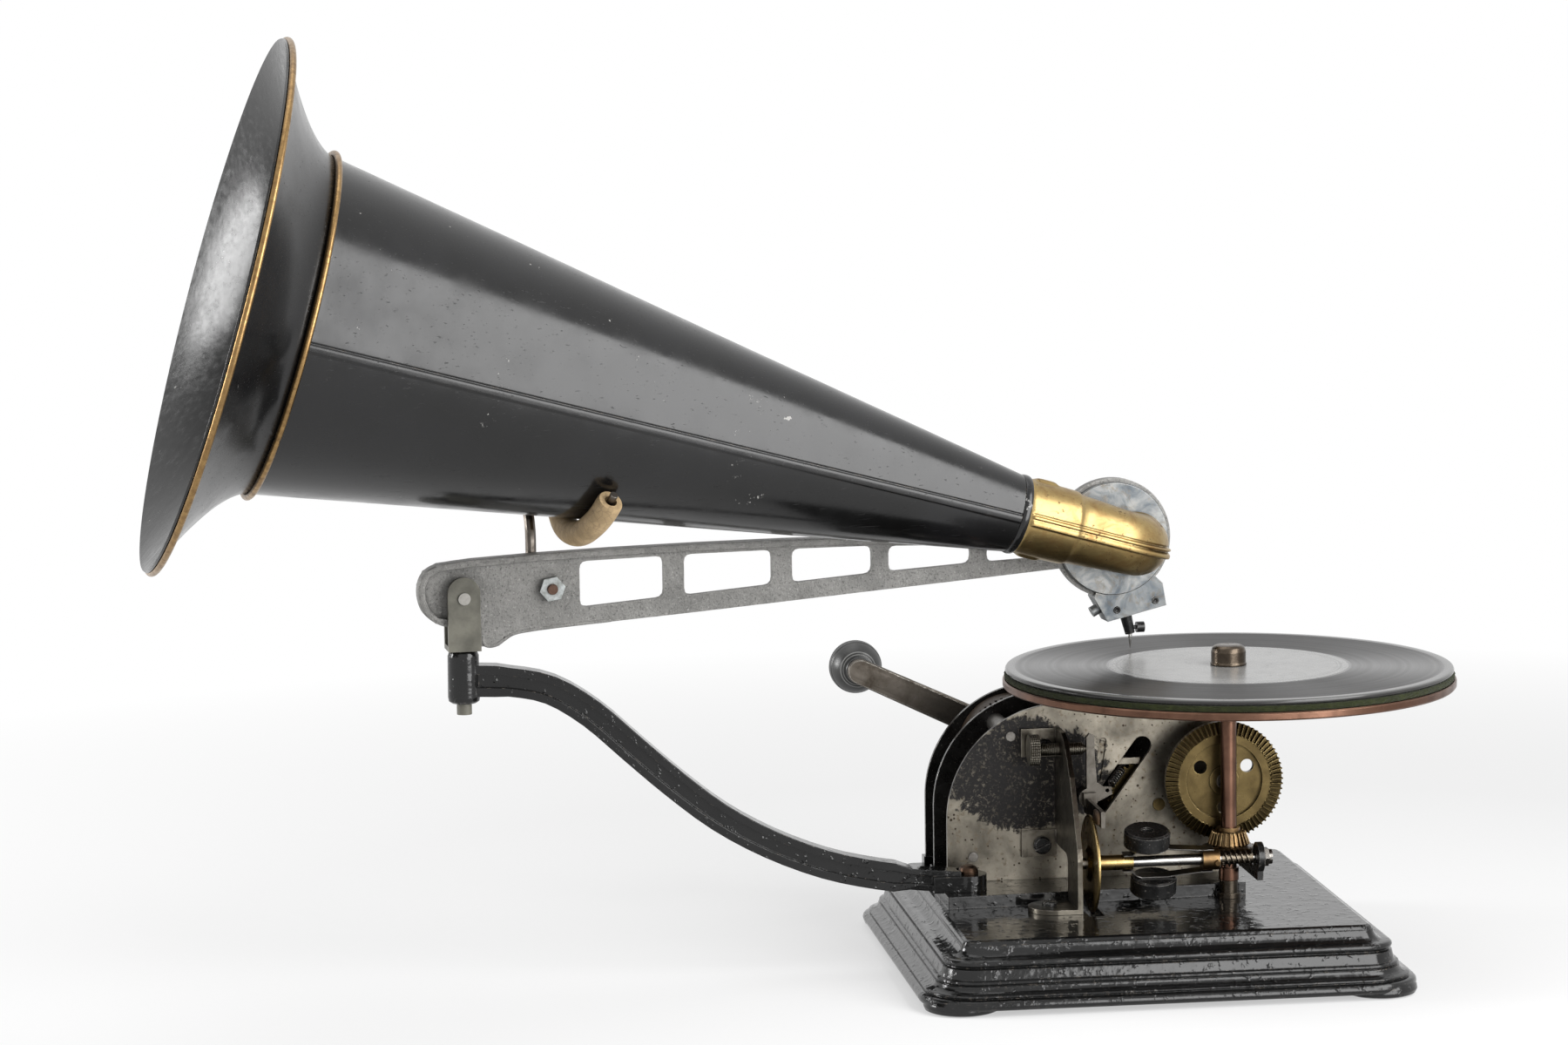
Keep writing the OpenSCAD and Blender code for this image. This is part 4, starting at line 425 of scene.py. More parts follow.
def elbow_brass(colours):
    """Polished brass shells gone olive-brown underneath, with dark spots along the solder of the seam."""
    f = Finish("elbow_brass", metallic=1.0)
    patch = f.patches(0.46, 0.72, 9.0, 5, 0.65, warp=0.6)
    spots = f.ranged(f.times(f.noise(1.5, 4, 0.7), f.noise(8.0, 3, 0.6)), 0.33, 0.37)
    colour = f.blend(patch, scaled(colours.brass, 0.55), (0.22, 0.13, 0.05))
    streak = f.patches(0.55, 0.75, 1.2, 3, 0.6, f.placed(scale=(0.15, 1.0, 1.0), turn=ALONG_HORN))
    colour = f.blend(f.times(streak, 0.5), colour, (0.19, 0.115, 0.05))
    colour = f.blend(f.times(spots, 0.8), colour, (0.07, 0.045, 0.025))
    # painted shade: darker in the elbow's own creases and gaps, along with dirt
    colour = f.blend(f.hollow_shade_and_dirt(0.8, 0.5, 0.85), colour, (0.06, 0.035, 0.015))
    worn = rubbed_edges(f, 0.5, 0.3, 2.5, 0.3, 0.55)
    colour = f.blend(worn, colour, (0.75, 0.62, 0.36))
    rough = f.blend_value(patch, 0.34, 0.44)
    f.bump([(f.noise(0.6, 3, 0.6), 0.006), (f.noise(6.0, 2), 0.12), (spots, 0.03)], 0.2)
    return f.surface(colour, f.blend_value(spots, rough, 0.55))


def inner_japan(colours):
    """The same japan inside the bell: greyer, with streaks that run down towards the throat."""
    f = Finish("inner_japan", specular=0.25)
    streak = f.noise(3.0, 4, 0.6, f.placed(scale=(0.12, 1.0, 1.0), turn=ALONG_HORN))
    patch = f.noise(26.0, 4)
    colour = f.blend(f.ranged(streak, 0.52, 0.75), colours.japan, (0.022, 0.022, 0.022))
    speck = f.ranged(f.times(f.noise(2.6, 5, 0.7), f.noise(24.0, 2)), 0.42, 0.44)
    colour = f.blend(f.times(speck, 0.7), colour, (0.35, 0.35, 0.33))
    f.bump([(patch, 0.3), (streak, 0.015)], 0.3)
    return f.surface(colour, f.ranged(streak, 0.3, 0.7, 0.16, 0.3))


def aged_metal(name, bright, dull, rub, rough, patch=6.0, grain=0.6, depth=0.01, edge=0.4, metallic=1.0,
               share=(0.35, 0.75), soft=0.25, shade_and_dirt_reach=1.5, ridges=0.0, specular=0.5):
    """Metal with its bright colour, dull patches of tarnish, painted shade with dirt in its corners, rubbed
    edges and fine grain; with ridges, painted shade in their grooves.
    """
    f = Finish(name, metallic=metallic, specular=specular)
    tarnish = f.ranged(f.noise(patch, 5, 0.6, warp=0.4), *share)
    speck = f.patches(0.64, 0.74, 0.9, 3, 0.6)
    colour = f.blend(tarnish, bright, dull)
    colour = f.blend(f.times(speck, 0.5), colour, scaled(dull, 0.45))
    # painted shade: the colour turns dark deep in the piece's own gaps and corners, along with dirt
    colour = f.blend(f.hollow_shade_and_dirt(shade_and_dirt_reach), colour, scaled(dull, 0.2))
    worn = rubbed_edges(f, edge, 0.3, 2.5, 0.35, 0.6)
    colour = f.blend(worn, colour, rub)
    base = f.blend_value(tarnish, rough[0], rough[1])
    spots = f.maths("ADD", base, f.ranged(speck, 0.0, 1.0, 0.0, 0.12))
    heights = [(f.noise(grain, 3, 0.6), depth), (f.noise(patch * 0.8, 2), depth * 2.0)]
    if ridges:
        heights.append((f.wave(ridges), 0.22 * ridges))
        # painted shade: the colour darkens in the grooves between the ridges of the thread
        colour = f.blend(f.ranged(f.wave(ridges), 0.5, 0.1), colour, scaled(dull, 0.3))
    f.bump(heights, soft)
    return f.surface(colour, f.blend_value(worn, spots, max(rough[0] - 0.05, 0.12)))


def front_plate_finish(colours):
    """Nickelled front plate with a ragged patch of old black paint at the left and rust pits round it."""
    f = Finish("front_plate_nickel", metallic=1.0, specular=0.2)
    tarnish = f.patches(0.35, 0.7, 16.0, 5, 0.6, warp=0.4)
    dull = scaled(colours.nickel, 0.28)
    bright = scaled(colours.nickel, 0.85)
    nickel = f.blend(tarnish, bright, dull)
    nickel = f.blend(f.patches(0.55, 0.7, 2.4, 5, 0.7), nickel, (0.10, 0.078, 0.052))
    pits = f.rest(f.ranged(f.times(f.cells(2.6), f.noise(11.0, 3)), 0.05, 0.09))
    nickel = f.blend(pits, nickel, (0.03, 0.022, 0.016))
    # painted shade: darker deep in the plate's own corners and openings, along with dirt
    nickel = f.blend(f.hollow_shade_and_dirt(4.0, 0.45, 0.8), nickel, (0.05, 0.04, 0.03))
    place = f.placed(shift=(0.039, 0.0, -0.0745))
    near = f.radius_from(place, (1.0, 0.0, 1.45))
    ragged = f.maths("ADD", f.ranged(near, 0.0, 0.06),
                     f.ranged(f.noise(8.0, 7, 0.72, warp=0.5), 0.0, 1.0, -0.32, 0.32))
    paint = f.ranged(ragged, 0.55, 0.52)
    chips = f.patches(0.53, 0.62, 1.5, 6, 0.75, warp=0.6)
    paint = f.times(paint, f.rest(f.times(chips, 0.7)))
    colour = f.blend(paint, nickel, (0.010, 0.0085, 0.0085))
    rough = f.blend_value(paint, f.ranged(tarnish, 0.0, 1.0, 0.3, 0.44), 0.42)
    f.bump([(paint, 0.05), (f.noise(1.6, 3, 0.6), 0.03), (pits, 0.03)], 0.3)
    return f.surface(colour, rough, f.ranged(paint, 0.2, 0.8, 1.0, 0.0))


def zinc_nut():
    """Zinced hexagon nut with a rusty brown screw end in its middle."""
    f = Finish("zinc_nut", metallic=0.9)
    bolt = f.placed(turn=(0.0, 0.0, -ARM_YAW), source=f.placed(shift=tuple(-BOSS * MM)))
    along = f.placed(shift=(-0.0354, 0.1566, 0.0), turn=(math.radians(90.0), 0.0, 0.0), source=bolt)
    centre = f.ranged(f.radius_from(along), 0.0024, 0.0020)
    tarnish = f.patches(0.35, 0.7, 2.5, 4, 0.6)
    zinc = f.blend(tarnish, (0.34, 0.36, 0.36), (0.17, 0.175, 0.165))
    rust = f.blend(tarnish, (0.10, 0.058, 0.042), (0.055, 0.034, 0.026))
    f.bump([(f.noise(0.8, 3, 0.6), 0.02)], 0.3)
    return f.surface(f.blend(centre, zinc, rust), f.ranged(tarnish, 0.0, 1.0, 0.34, 0.5))


def soundbox_metal():
    """Dull white-metal case clouded blue-grey and brown, with fine bright edges."""
    f = Finish("clouded_case", metallic=0.8)
    cloud = f.patches(0.38, 0.66, 9.0, 5, 0.65, warp=0.8)
    stain = f.patches(0.52, 0.68, 4.0, 5, 0.7, warp=0.6)
    colour = f.blend(cloud, (0.20, 0.203, 0.198), (0.085, 0.10, 0.115))
    colour = f.blend(f.times(stain, 0.6), colour, (0.12, 0.095, 0.065))
    worn = rubbed_edges(f, 0.4, 0.3, 4.0, 0.25, 0.5)
    colour = f.blend(worn, colour, (0.62, 0.62, 0.60))
    f.bump([(f.noise(1.0, 3, 0.6), 0.015), (f.noise(7.0, 2), 0.05)], 0.3)
    return f.surface(colour, f.ranged(cloud, 0.0, 1.0, 0.44, 0.55))


def enamelled_steel(name, colour, rub, rough=(0.25, 0.42), edge=0.5, depth=0.03, specular=0.35):
    """Dark enamel on steel, rubbed bright along its edges."""
    f = Finish(name, specular=specular)
    worn = rubbed_edges(f, edge, 0.22, 4.0, 0.38, 0.6)
    tone = f.patches(0.35, 0.65, 9.0, 4)
    speck = f.patches(0.64, 0.7, 1.0, 3, 0.6)
    shade = f.blend(tone, colour, tuple(min(1.0, 1.8 * c + 0.006) for c in colour))
    shade = f.blend(f.times(speck, 0.6), shade, scaled(rub, 0.5))
    shade = f.blend(worn, shade, rub)
    f.bump([(f.noise(1.1, 2), depth), (f.noise(6.0, 2), 3 * depth)], 0.3)
    rough_value = f.blend_value(worn, f.ranged(f.noise(5.0, 3), 0.3, 0.7, *rough), 0.3)
    return f.surface(shade, rough_value, f.times(worn, 0.9))


def raw_iron(colours):
    """Rough grey casting straight from the sand, with rubbed high spots."""
    f = Finish("raw_iron", metallic=0.35)
    grain = f.noise(0.8, 4, 0.65)
    lumps = f.noise(4.0, 3)
    tone = f.patches(0.35, 0.65, 14.0, 4)
    colour = f.blend(tone, scaled(colours.casting, 0.72), scaled(colours.casting, 0.5))
    colour = f.blend(f.ranged(grain, 0.54, 0.68), colour, scaled(colours.casting, 0.3))
    colour = f.blend(f.patches(0.6, 0.7, 0.9, 3, 0.6), colour, scaled(colours.casting, 0.95))
    worn = rubbed_edges(f, 0.8, 0.3, 4.0, 0.35, 0.6)
    colour = f.blend(worn, colour, (0.42, 0.41, 0.39))
    # painted shade: darker in the casting's own hollows and corners, along with dirt
    colour = f.blend(f.hollow_shade_and_dirt(2.5, 0.4, 0.8), colour, scaled(colours.casting, 0.3))
    f.bump([(lumps, 0.35), (grain, 0.16)], 0.5)
    return f.surface(colour, f.ranged(grain, 0.3, 0.7, 0.42, 0.66))


def felt_cloth(name, wool):
    """Thick wool felt: tangled fibres in two shades, pale lint and a soft sheen."""
    f = Finish(name, specular=0.2)
    fibre = f.noise(0.5, 6, 0.75, warp=1.2)
    clump = f.noise(3.0, 4, 0.6)
    lint = f.patches(0.66, 0.72, 0.7, 4, 0.7, warp=2.0)
    dark = scaled(wool, 0.35)
    colour = f.blend(f.ranged(fibre, 0.32, 0.68), dark, wool)
    colour = f.blend(f.ranged(clump, 0.45, 0.75), colour, scaled(wool, 1.25))
    colour = f.blend(f.times(lint, 0.5), colour, (0.30, 0.30, 0.22))
    f.set("Sheen Weight", 0.08)
    f.set("Sheen Roughness", 0.5)
    f.bump([(fibre, 0.35), (clump, 0.5)], 0)
    return f.surface(colour, f.ranged(fibre, 0.3, 0.7, 0.85, 0.98))


def shellac_disc():
    """Pressed shellac: sound grooves that spread the shine, a plain rim lightened by a painted sheen, dust
    and hair scratches.
    """
    f = Finish("shellac_disc", specular=0.6)
    centre = f.placed(shift=SPINDLE_SHIFT)
    radius = f.radius_from(centre)
    outward = f.node("CombineXYZ", {0: radius}).outputs[0]
    groove = f.wave(0.5, outward)
    bands = f.noise(3.0, 4, 0.6, outward)
    cut = f.times(f.ranged(radius, 0.0484, 0.0490), f.ranged(radius, 0.0852, 0.0846))
    dust = f.patches(0.45, 0.8, 9.0, 5, 0.65)
    colour = f.blend(f.times(dust, 0.5), (0.010, 0.009, 0.009), (0.03, 0.029, 0.027))
    colour = f.blend(f.times(f.ranged(bands, 0.52, 0.7), 0.4), colour, (0.035, 0.034, 0.033))
    # painted sheen: the plain rim band gets a lighter colour than the grooved field
    rim = f.times(f.ranged(radius, 0.0846, 0.0866), f.ranged(radius, 0.0890, 0.0886))
    colour = f.blend(rim, colour, (0.06, 0.06, 0.058))
    scratch = f.patches(0.7, 0.73, 0.7, 2, 0.5, f.placed(scale=(0.05, 1.0, 1.0), turn=(0, 0, 0.7)))
    f.bump([(f.times(groove, cut), 0.008), (bands, 0.012), (scratch, 0.006)], 0.25)
    f.set("Specular IOR Level", f.ranged(radius, 0.0892, 0.0886, 0.12, 0.6))
    f.set("Anisotropic", f.times(cut, 0.92))
    f.set("Tangent", centre)
    return f.surface(colour, f.blend_value(cut, 0.16, f.ranged(bands, 0.3, 0.7, 0.32, 0.42)))


def label_paper(colours):
    """Glazed grey label with a plain printed ring, foxing and a rubbed middle."""
    f = Finish("label_paper", specular=0.6)
    radius = f.radius_from(f.placed(shift=SPINDLE_SHIFT))
    ring = f.times(f.ranged(radius, 0.0440, 0.0442), f.ranged(radius, 0.0450, 0.0448))
    thin = f.times(f.ranged(radius, 0.0428, 0.0429), f.ranged(radius, 0.0433, 0.0432))
    fox = f.patches(0.45, 0.75, 7.0, 6, 0.7)
    fibre = f.noise(0.5, 4, 0.7)
    colour = f.blend(fox, colours.paper, scaled(colours.paper, 0.72))
    colour = f.blend(f.times(f.maths("MAXIMUM", ring, thin), 0.5), colour, (0.08, 0.08, 0.078))
    rub = f.patches(0.62, 0.68, 3.5, 5, 0.7)
    colour = f.blend(f.times(rub, 0.4), colour, (0.09, 0.085, 0.08))
    f.bump([(fibre, 0.006), (f.noise(9.0, 3), 0.06)], 0)
    return f.surface(colour, f.ranged(fibre, 0.3, 0.7, 0.2, 0.3))


def turned_wood():
    """Ebonised knob, dulled by hands: fine turning lines, small dents and a smoky bloom."""
    f = Finish("turned_wood", specular=0.5)
    grain = f.noise(1.2, 4, 0.6, f.placed(scale=(1.0, 0.2, 1.0)))
    bloom = f.patches(0.35, 0.7, 7.0, 4)
    colour = f.blend(bloom, (0.016, 0.016, 0.0155), (0.034, 0.034, 0.033))
    middle = scaled((-KNOB_PLACE[0], KNOB_PLACE[2], 0.0), MM)
    axis = f.placed(shift=middle, turn=(math.pi / 2.0, 0.0, 0.0))
    radius = f.radius_from(axis)
    for ring in (0.0064, 0.0074):
        rise = f.ranged(radius, ring - 0.00025, ring)
        share = f.times(rise, f.ranged(radius, ring + 0.00035, ring + 0.0001))
        colour = f.blend(f.times(share, 0.7), colour, (0.30, 0.30, 0.29))
    worn = rubbed_edges(f, 0.4, 0.3, 2.0, 0.3, 0.55)
    colour = f.blend(worn, colour, (0.22, 0.215, 0.205))
    f.bump([(f.wave(0.7, direction="Y"), 0.004), (grain, 0.012)], 0.2)
    return f.surface(colour, f.ranged(grain, 0.3, 0.7, 0.3, 0.42))


def hide_tube(colours):
    """Aged rubber or hide tube: crazed round its length, rubbed pale on top."""
    f = Finish("hide_tube", specular=0.3)
    craze = f.cells(2.6, feature="DISTANCE_TO_EDGE")
    lines = f.ranged(craze, 0.0, 0.05)
    tone = f.patches(0.35, 0.65, 6.0, 4)
    colour = f.blend(tone, colours.tube, scaled(colours.tube, 0.7))
    colour = f.blend(f.times(f.rest(lines), 0.5), colour, (0.10, 0.065, 0.04))
    f.bump([(lines, 0.06), (f.noise(1.2, 4, 0.6), 0.08)], 0)
    return f.surface(colour, f.ranged(tone, 0, 1, 0.5, 0.7))


def clear_mica():
    """Thin split mica: smoky, faintly layered and glossy."""
    f = Finish("clear_mica", specular=0.5)
    flake = f.noise(5.0, 5, 0.6)
    colour = f.blend(f.ranged(flake, 0.4, 0.6), (0.34, 0.30, 0.24), (0.52, 0.48, 0.40))
    f.bump([(flake, 0.05)], 0)
    return f.surface(colour, f.ranged(flake, 0.3, 0.7, 0.12, 0.25))


# Metals: bright, dull and rubbed colour, roughness where bright and where dull, and other options

METALS = {
    "turned_steel": ((0.24, 0.23, 0.215), (0.11, 0.098, 0.085), (0.50, 0.48, 0.45), (0.28, 0.42),
                     {"patch": 5.0}),
    "pillar_steel": ((0.20, 0.19, 0.175), (0.09, 0.082, 0.072), (0.26, 0.25, 0.235), (0.3, 0.44),
                     {"patch": 4.0, "edge": 0.25}),
    "bright_shaft": ((0.46, 0.45, 0.43), (0.26, 0.25, 0.235), (0.60, 0.59, 0.57), (0.18, 0.3), {}),
    "dark_lever": ((0.13, 0.12, 0.105), (0.055, 0.048, 0.04), (0.36, 0.33, 0.29), (0.3, 0.45), {}),
    "brown_steel": ((0.13, 0.115, 0.098), (0.058, 0.048, 0.038), (0.60, 0.58, 0.54), (0.32, 0.5),
                    {"patch": 12.0, "edge": 0.8, "share": (0.4, 0.66)}),
    # Spring barrel and first wheel: dark oily steel turned near black with almost no shine, as painted shade
    # for the gap between the plates
    "oiled_barrel": ((0.035, 0.024, 0.016), (0.015, 0.011, 0.008), (0.05, 0.037, 0.024), (0.4, 0.5),
                     {"metallic": 0.0, "specular": 0.08}),
    "screw_nickel": ((0.26, 0.24, 0.20), (0.11, 0.10, 0.08), (0.5, 0.47, 0.4), (0.3, 0.42),
                     {"shade_and_dirt_reach": 0.6, "ridges": 0.75}),
    "dark_bronze": ((0.22, 0.135, 0.06), (0.085, 0.055, 0.03), (0.55, 0.40, 0.20), (0.28, 0.42),
                    {"patch": 4.0}),
    "turned_foot": ((0.075, 0.062, 0.048), (0.032, 0.026, 0.02), (0.34, 0.29, 0.22), (0.24, 0.38), {}),
    "oiled_worm": ((0.12, 0.10, 0.075), (0.05, 0.04, 0.03), (0.5, 0.45, 0.36), (0.26, 0.4), {"shade_and_dirt_reach": 0.8}),
    "bead_brass": ((0.34, 0.215, 0.09), (0.17, 0.10, 0.045), (0.62, 0.44, 0.22), (0.24, 0.42),
                   {"patch": 2.5}),
    "nut_brown": ((0.10, 0.08, 0.06), (0.045, 0.034, 0.026), (0.36, 0.28, 0.19), (0.24, 0.38),
                  {"patch": 3.0}),
    "brown_wire": ((0.13, 0.115, 0.10), (0.055, 0.046, 0.038), (0.5, 0.47, 0.44), (0.3, 0.45),
                   {"patch": 4.0}),
    "pin_steel": ((0.30, 0.29, 0.27), (0.15, 0.145, 0.13), (0.5, 0.5, 0.48), (0.34, 0.48), {}),
    "rusty_screw": ((0.06, 0.036, 0.024), (0.026, 0.017, 0.012), (0.26, 0.19, 0.14), (0.34, 0.5),
                    {"patch": 3.0}),
    "sprung_steel": ((0.14, 0.135, 0.13), (0.06, 0.055, 0.05), (0.4, 0.39, 0.37), (0.28, 0.42), {}),
}

# Nodes of the frame by the name of their finish, which no material of the frame has

NODES = {
    "cast_japan": "base_casting support_arm",
    "sheet_japan": "horn_cone horn_bell throat_ferrule",
    "bead_brass": "horn_beads",
    "aged_brass": "friction_disc horn_elbow",
    "oiled_brass": "second_lay_gear bevel_gear",
    "brown_copper": "spindle turntable",
    "dark_bronze": "bevel_pinion governor_collar",
    "nut_brown": "clamp_nut",
    "front_plate_nickel": "front_plate",
    "mottled_nickel": "governor_bracket",
    "screw_nickel": "speed_screw",
    "black_plate": "middle_plate back_plate",
    "blued_steel": "plate_screws bracket_screws pivot_bracket pawl_pin governor_weights lug_screws"
                   " stylus_bar needle_screw",
    "olive_enamel": "swivel_bracket",
    "pillar_steel": "plate_pillars",
    "turned_steel": "pivot_screw winding_arbor ratchet_wheel pawl",
    "bright_shaft": "governor_shaft needle",
    "brown_steel": "crank_arm",
    "rusty_screw": "support_screw",
    "brown_wire": "cradle_rod",
    "pin_steel": "tilt_pin",
    "sprung_steel": "brake_spring mainspring governor_springs",
    "dark_lever": "brake_stud brake_lever bevel_shaft",
    "turned_foot": "foot_bearing worm_wheel",
    "oiled_barrel": "spring_barrel first_lay_gear",
    "oiled_worm": "governor_worm",
    "raw_iron": "carrier_arm",
    "zinc_nut": "cradle_bolt",
    "clouded_case": "soundbox_case",
    "clear_mica": "diaphragm",
    "hide_tube": "cradle_tube",
    "turned_wood": "crank_knob",
    "brake_felt": "brake_pad",
    "felt_cloth": "turntable_felt",
    "shellac_disc": "record",
}


def all_finishes(colours):
    """Every finish, kept under its name among the materials."""
    for name, (bright, dull, rub, rough, options) in METALS.items():
        aged_metal(name, bright, dull, rub, rough, **options)
    aged_metal("aged_brass", scaled(colours.brass, 0.75), (0.20, 0.13, 0.05), (0.75, 0.58, 0.30),
               (0.24, 0.38))
    # Gears: dark oily brass, darkened further as painted shade for the shadow that they sit in
    aged_metal("oiled_brass", scaled(colours.brass, 0.16), (0.038, 0.027, 0.012), (0.50, 0.38, 0.17),
               (0.26, 0.4), patch=9.0, shade_and_dirt_reach=4.0)
    aged_metal("brown_copper", colours.copper, scaled(colours.copper, 0.55), (0.40, 0.25, 0.17),
               (0.28, 0.4), patch=8.0)
    aged_metal("mottled_nickel", scaled(colours.nickel, 0.62), (0.06, 0.052, 0.042), (0.5, 0.47, 0.41),
               (0.28, 0.42), patch=7.0, share=(0.42, 0.66), shade_and_dirt_reach=3.0)
    enamelled_steel("blued_steel", (0.005, 0.005, 0.005), (0.42, 0.40, 0.37), (0.2, 0.32))
    enamelled_steel("black_plate", (0.006, 0.0055, 0.005), (0.55, 0.52, 0.47), (0.2, 0.34), edge=0.35)
    enamelled_steel("olive_enamel", (0.085, 0.082, 0.066), (0.22, 0.21, 0.185), (0.4, 0.55))
    felt_cloth("brake_felt", (0.10, 0.062, 0.035))
    felt_cloth("felt_cloth", tuple(colours.felt))
    for finish in (cast_japan, sheet_japan, inner_japan, elbow_brass, front_plate_finish, raw_iron, hide_tube,
                   label_paper):
        finish(colours)
    for finish in (zinc_nut, soundbox_metal, shellac_disc, turned_wood, clear_mica):
        finish()


# Sizes and colours that a user may change

def length(name, description, value, low=0.0, high=1.0):
    return bpy.props.FloatProperty(name=name, description=description, default=value, min=low, max=high,
                                   unit="LENGTH", subtype="DISTANCE", precision=5)


def colour(name, description, value):
    return bpy.props.FloatVectorProperty(name=name, description=description, default=value, size=3,
                                         min=0.0, max=1.0, subtype="COLOR")


def level(name, description, value, high=200.0):
    return bpy.props.FloatProperty(name=name, description=description, default=value, min=0.0, max=high)


class FinishColours(bpy.types.PropertyGroup):
    """Main colours of the finishes."""
    japan: colour("Japan", "Black japan of the horn and the base", (0.004, 0.004, 0.004))
    nickel: colour("Nickel", "Nickel plate of the motor front", (0.27, 0.245, 0.20))
    brass: colour("Brass", "Brass of the elbow, beads and gears", (0.62, 0.45, 0.19))
    copper: colour("Copper", "Copper of the turntable and spindle", (0.14, 0.075, 0.051))
    # painted shade: the olive felt is set far darker than its own colour, to the level of the shade under the
    # record's edge
    felt: colour("Felt", "Wool felt under the record", (0.020, 0.025, 0.005))
    casting: colour("Casting", "Raw iron of the carrier arm", (0.30, 0.295, 0.28))
    tube: colour("Tube", "Tube on the cradle wire", (0.46, 0.33, 0.18))
    paper: colour("Label", "Paper of the bare record label", (0.27, 0.27, 0.265))


class HornSizes(bpy.types.PropertyGroup):
    """Sizes of the sheet horn."""
    throat: length("Throat radius", "Outer radius of the cone at its small end", 0.0158, 0.012, 0.018)
    joint: length("Joint radius", "Outer radius where the cone meets the bell", 0.0665, 0.06, 0.07)
    mouth: length("Mouth radius", "Radius of the bell at its rim", 0.105, 0.09, 0.11)
    cone: length("Cone length", "Length of the cone along its axis", 0.297, 0.28, 0.3)
    bell: length("Bell length", "Length of the flared bell", 0.030, 0.02, 0.04)
    sheet: length("Sheet", "Thickness of the sheet iron", 0.0009, 0.0004, 0.002)
    seam: length("Seam height", "Height of the folded seam along the cone", 0.0006, 0.0, 0.001)


class TableSizes(bpy.types.PropertyGroup):
    """Sizes of the felt, the record and its label."""
    felt: length("Felt radius", "Radius of the felt disc", 0.0893, 0.08, 0.092)
    disc: length("Record radius", "Radius of the record", 0.089, 0.08, 0.09)
    label: length("Label radius", "Radius of the paper label", 0.0475, 0.03, 0.05)


class StageSettings(bpy.types.PropertyGroup):
    """Floor colour and light levels."""
    floor: colour("Floor", "Colour of the plain floor", (0.86, 0.86, 0.86))
    sky: level("Sky", "Level of the even light", 0.32, 2.0)
    key: level("Key", "Power of the soft box at the front right in watts", 14.0)
    side: level("Side", "Power of the panel at the left in watts", 10.0)
    fill: level("Fill", "Power of the lamp overhead in watts", 3.5)


# Horn

def seamed_angles(radii, reach, fine, count):
    """Angles from a seam for rows of the given radii: fixed arc steps near it, even ones beyond."""
    near = np.linspace(-reach, reach, fine)[None, :] / radii[:, None]
    share = np.linspace(0.0, 1.0, count + 2)[1:-1]
    far = near[:, -1:] + share * (2.0 * math.pi - 2.0 * near[:, -1:])
    return np.concatenate([near, far], axis=1)


def signed(angles):
    """The same angles between minus half a turn and half a turn."""
    return np.angle(np.exp(1j * angles))


def edge_step(value, steepness):
    """Smooth step from 0 to 1 through the value's zero: 1 / (1 + e^(-steepness value))."""
    return 1.0 / (1.0 + np.exp(-np.clip(value * steepness, -40.0, 40.0)))


def band(value, low, high, rise=6.0, fall=6.0):
    """One between two limits and nought beyond them, with a smooth step at each."""
    return edge_step(value - low, rise) * edge_step(high - value, fall)


def hump(value, middle, width, power=2):
    """One at the middle, falling off on both sides: e^-((value - middle) / width)^power."""
    return np.exp(-((value - middle) / width) ** power)


def soft_random(rows, columns, seed, passes=2):
    """Random heights on a looped grid, averaged with their neighbours and scaled to about one."""
    field = np.random.default_rng(seed).normal(size=(rows, columns))
    for _ in range(passes):
        field = (field + np.roll(field, 1, 0) + np.roll(field, 1, 1) + np.roll(field, -1, 1)) / 4.0
    return field / field.std()


def sheet_wobble(angle, along, depth):
    """Slight hand-made unevenness: a few slow sine waves round and along."""
    return depth * (np.sin(2 * angle + 0.7) * np.cos(along / 47.0) + 0.6 * np.sin(3 * angle - along / 61.0)
                    + 0.35 * np.sin(5 * angle + along / 29.0))


# Angle of the folded seam about the axis of the horn
SEAM = math.radians(-93.0)


def cone_grid(h):
    """Straight cone r = throat + (joint - throat) s / length, outer and inner wall as one closed loop.

    The folded seam is a flat band between two smooth steps, with a thin groove above it.
    """
    s_out = np.linspace(0.0, h.cone / MM, 110)
    s = np.concatenate([s_out, s_out[::-1]])
    wall = np.concatenate([np.zeros(len(s_out)), np.full(len(s_out), h.sheet / MM)])
    r = (h.throat + (h.joint - h.throat) * s / (h.cone / MM)) / MM
    angles = seamed_angles(r, reach=4.6, fine=56, count=150)
    arc = signed(angles) * r[:, None]
    seam = h.seam / MM * (band(arc, -1.5, 1.3, 9.0, 7.0) - 0.5 * hump(arc, 1.9, 0.3))
    fade = np.sin(np.pi * np.clip(s / (h.cone / MM), 0.0, 1.0)) ** 0.3
    angles = angles + SEAM
    wobble = sheet_wobble(angles, s[:, None], depth=0.12) * fade[:, None]
    return in_horn(about_axis(r[:, None] - wall[:, None] + seam + wobble, angles, s[:, None]))


def bell_grid(h):
    """Flare r = joint + (mouth - joint) t^1.6 over the bell's length, with its wall as one closed loop."""
    t = np.linspace(0.0, 1.0, 56)
    r = (h.joint + (h.mouth - h.joint) * t ** 1.6) / MM
    s = (h.cone + h.bell * t) / MM + 0.05
    d = unit(np.gradient(np.stack([r, s], -1), axis=0))
    inner_r = r - d[:, 1] * h.sheet / MM
    inner_s = np.maximum(s + d[:, 0] * h.sheet / MM, h.cone / MM + 0.05)
    radius = np.concatenate([r, inner_r[::-1]])
    along = np.concatenate([s, inner_s[::-1]])
    angles = full_turn(260)
    fade = np.concatenate([t, t[::-1]]) ** 2
    wobble = sheet_wobble(angles[None, :], along[:, None], depth=0.1)
    wobble = wobble * fade[:, None] * (1 - fade[:, None] * 0.8)
    return in_horn(about_axis(radius[:, None] + wobble, angles, along[:, None]))


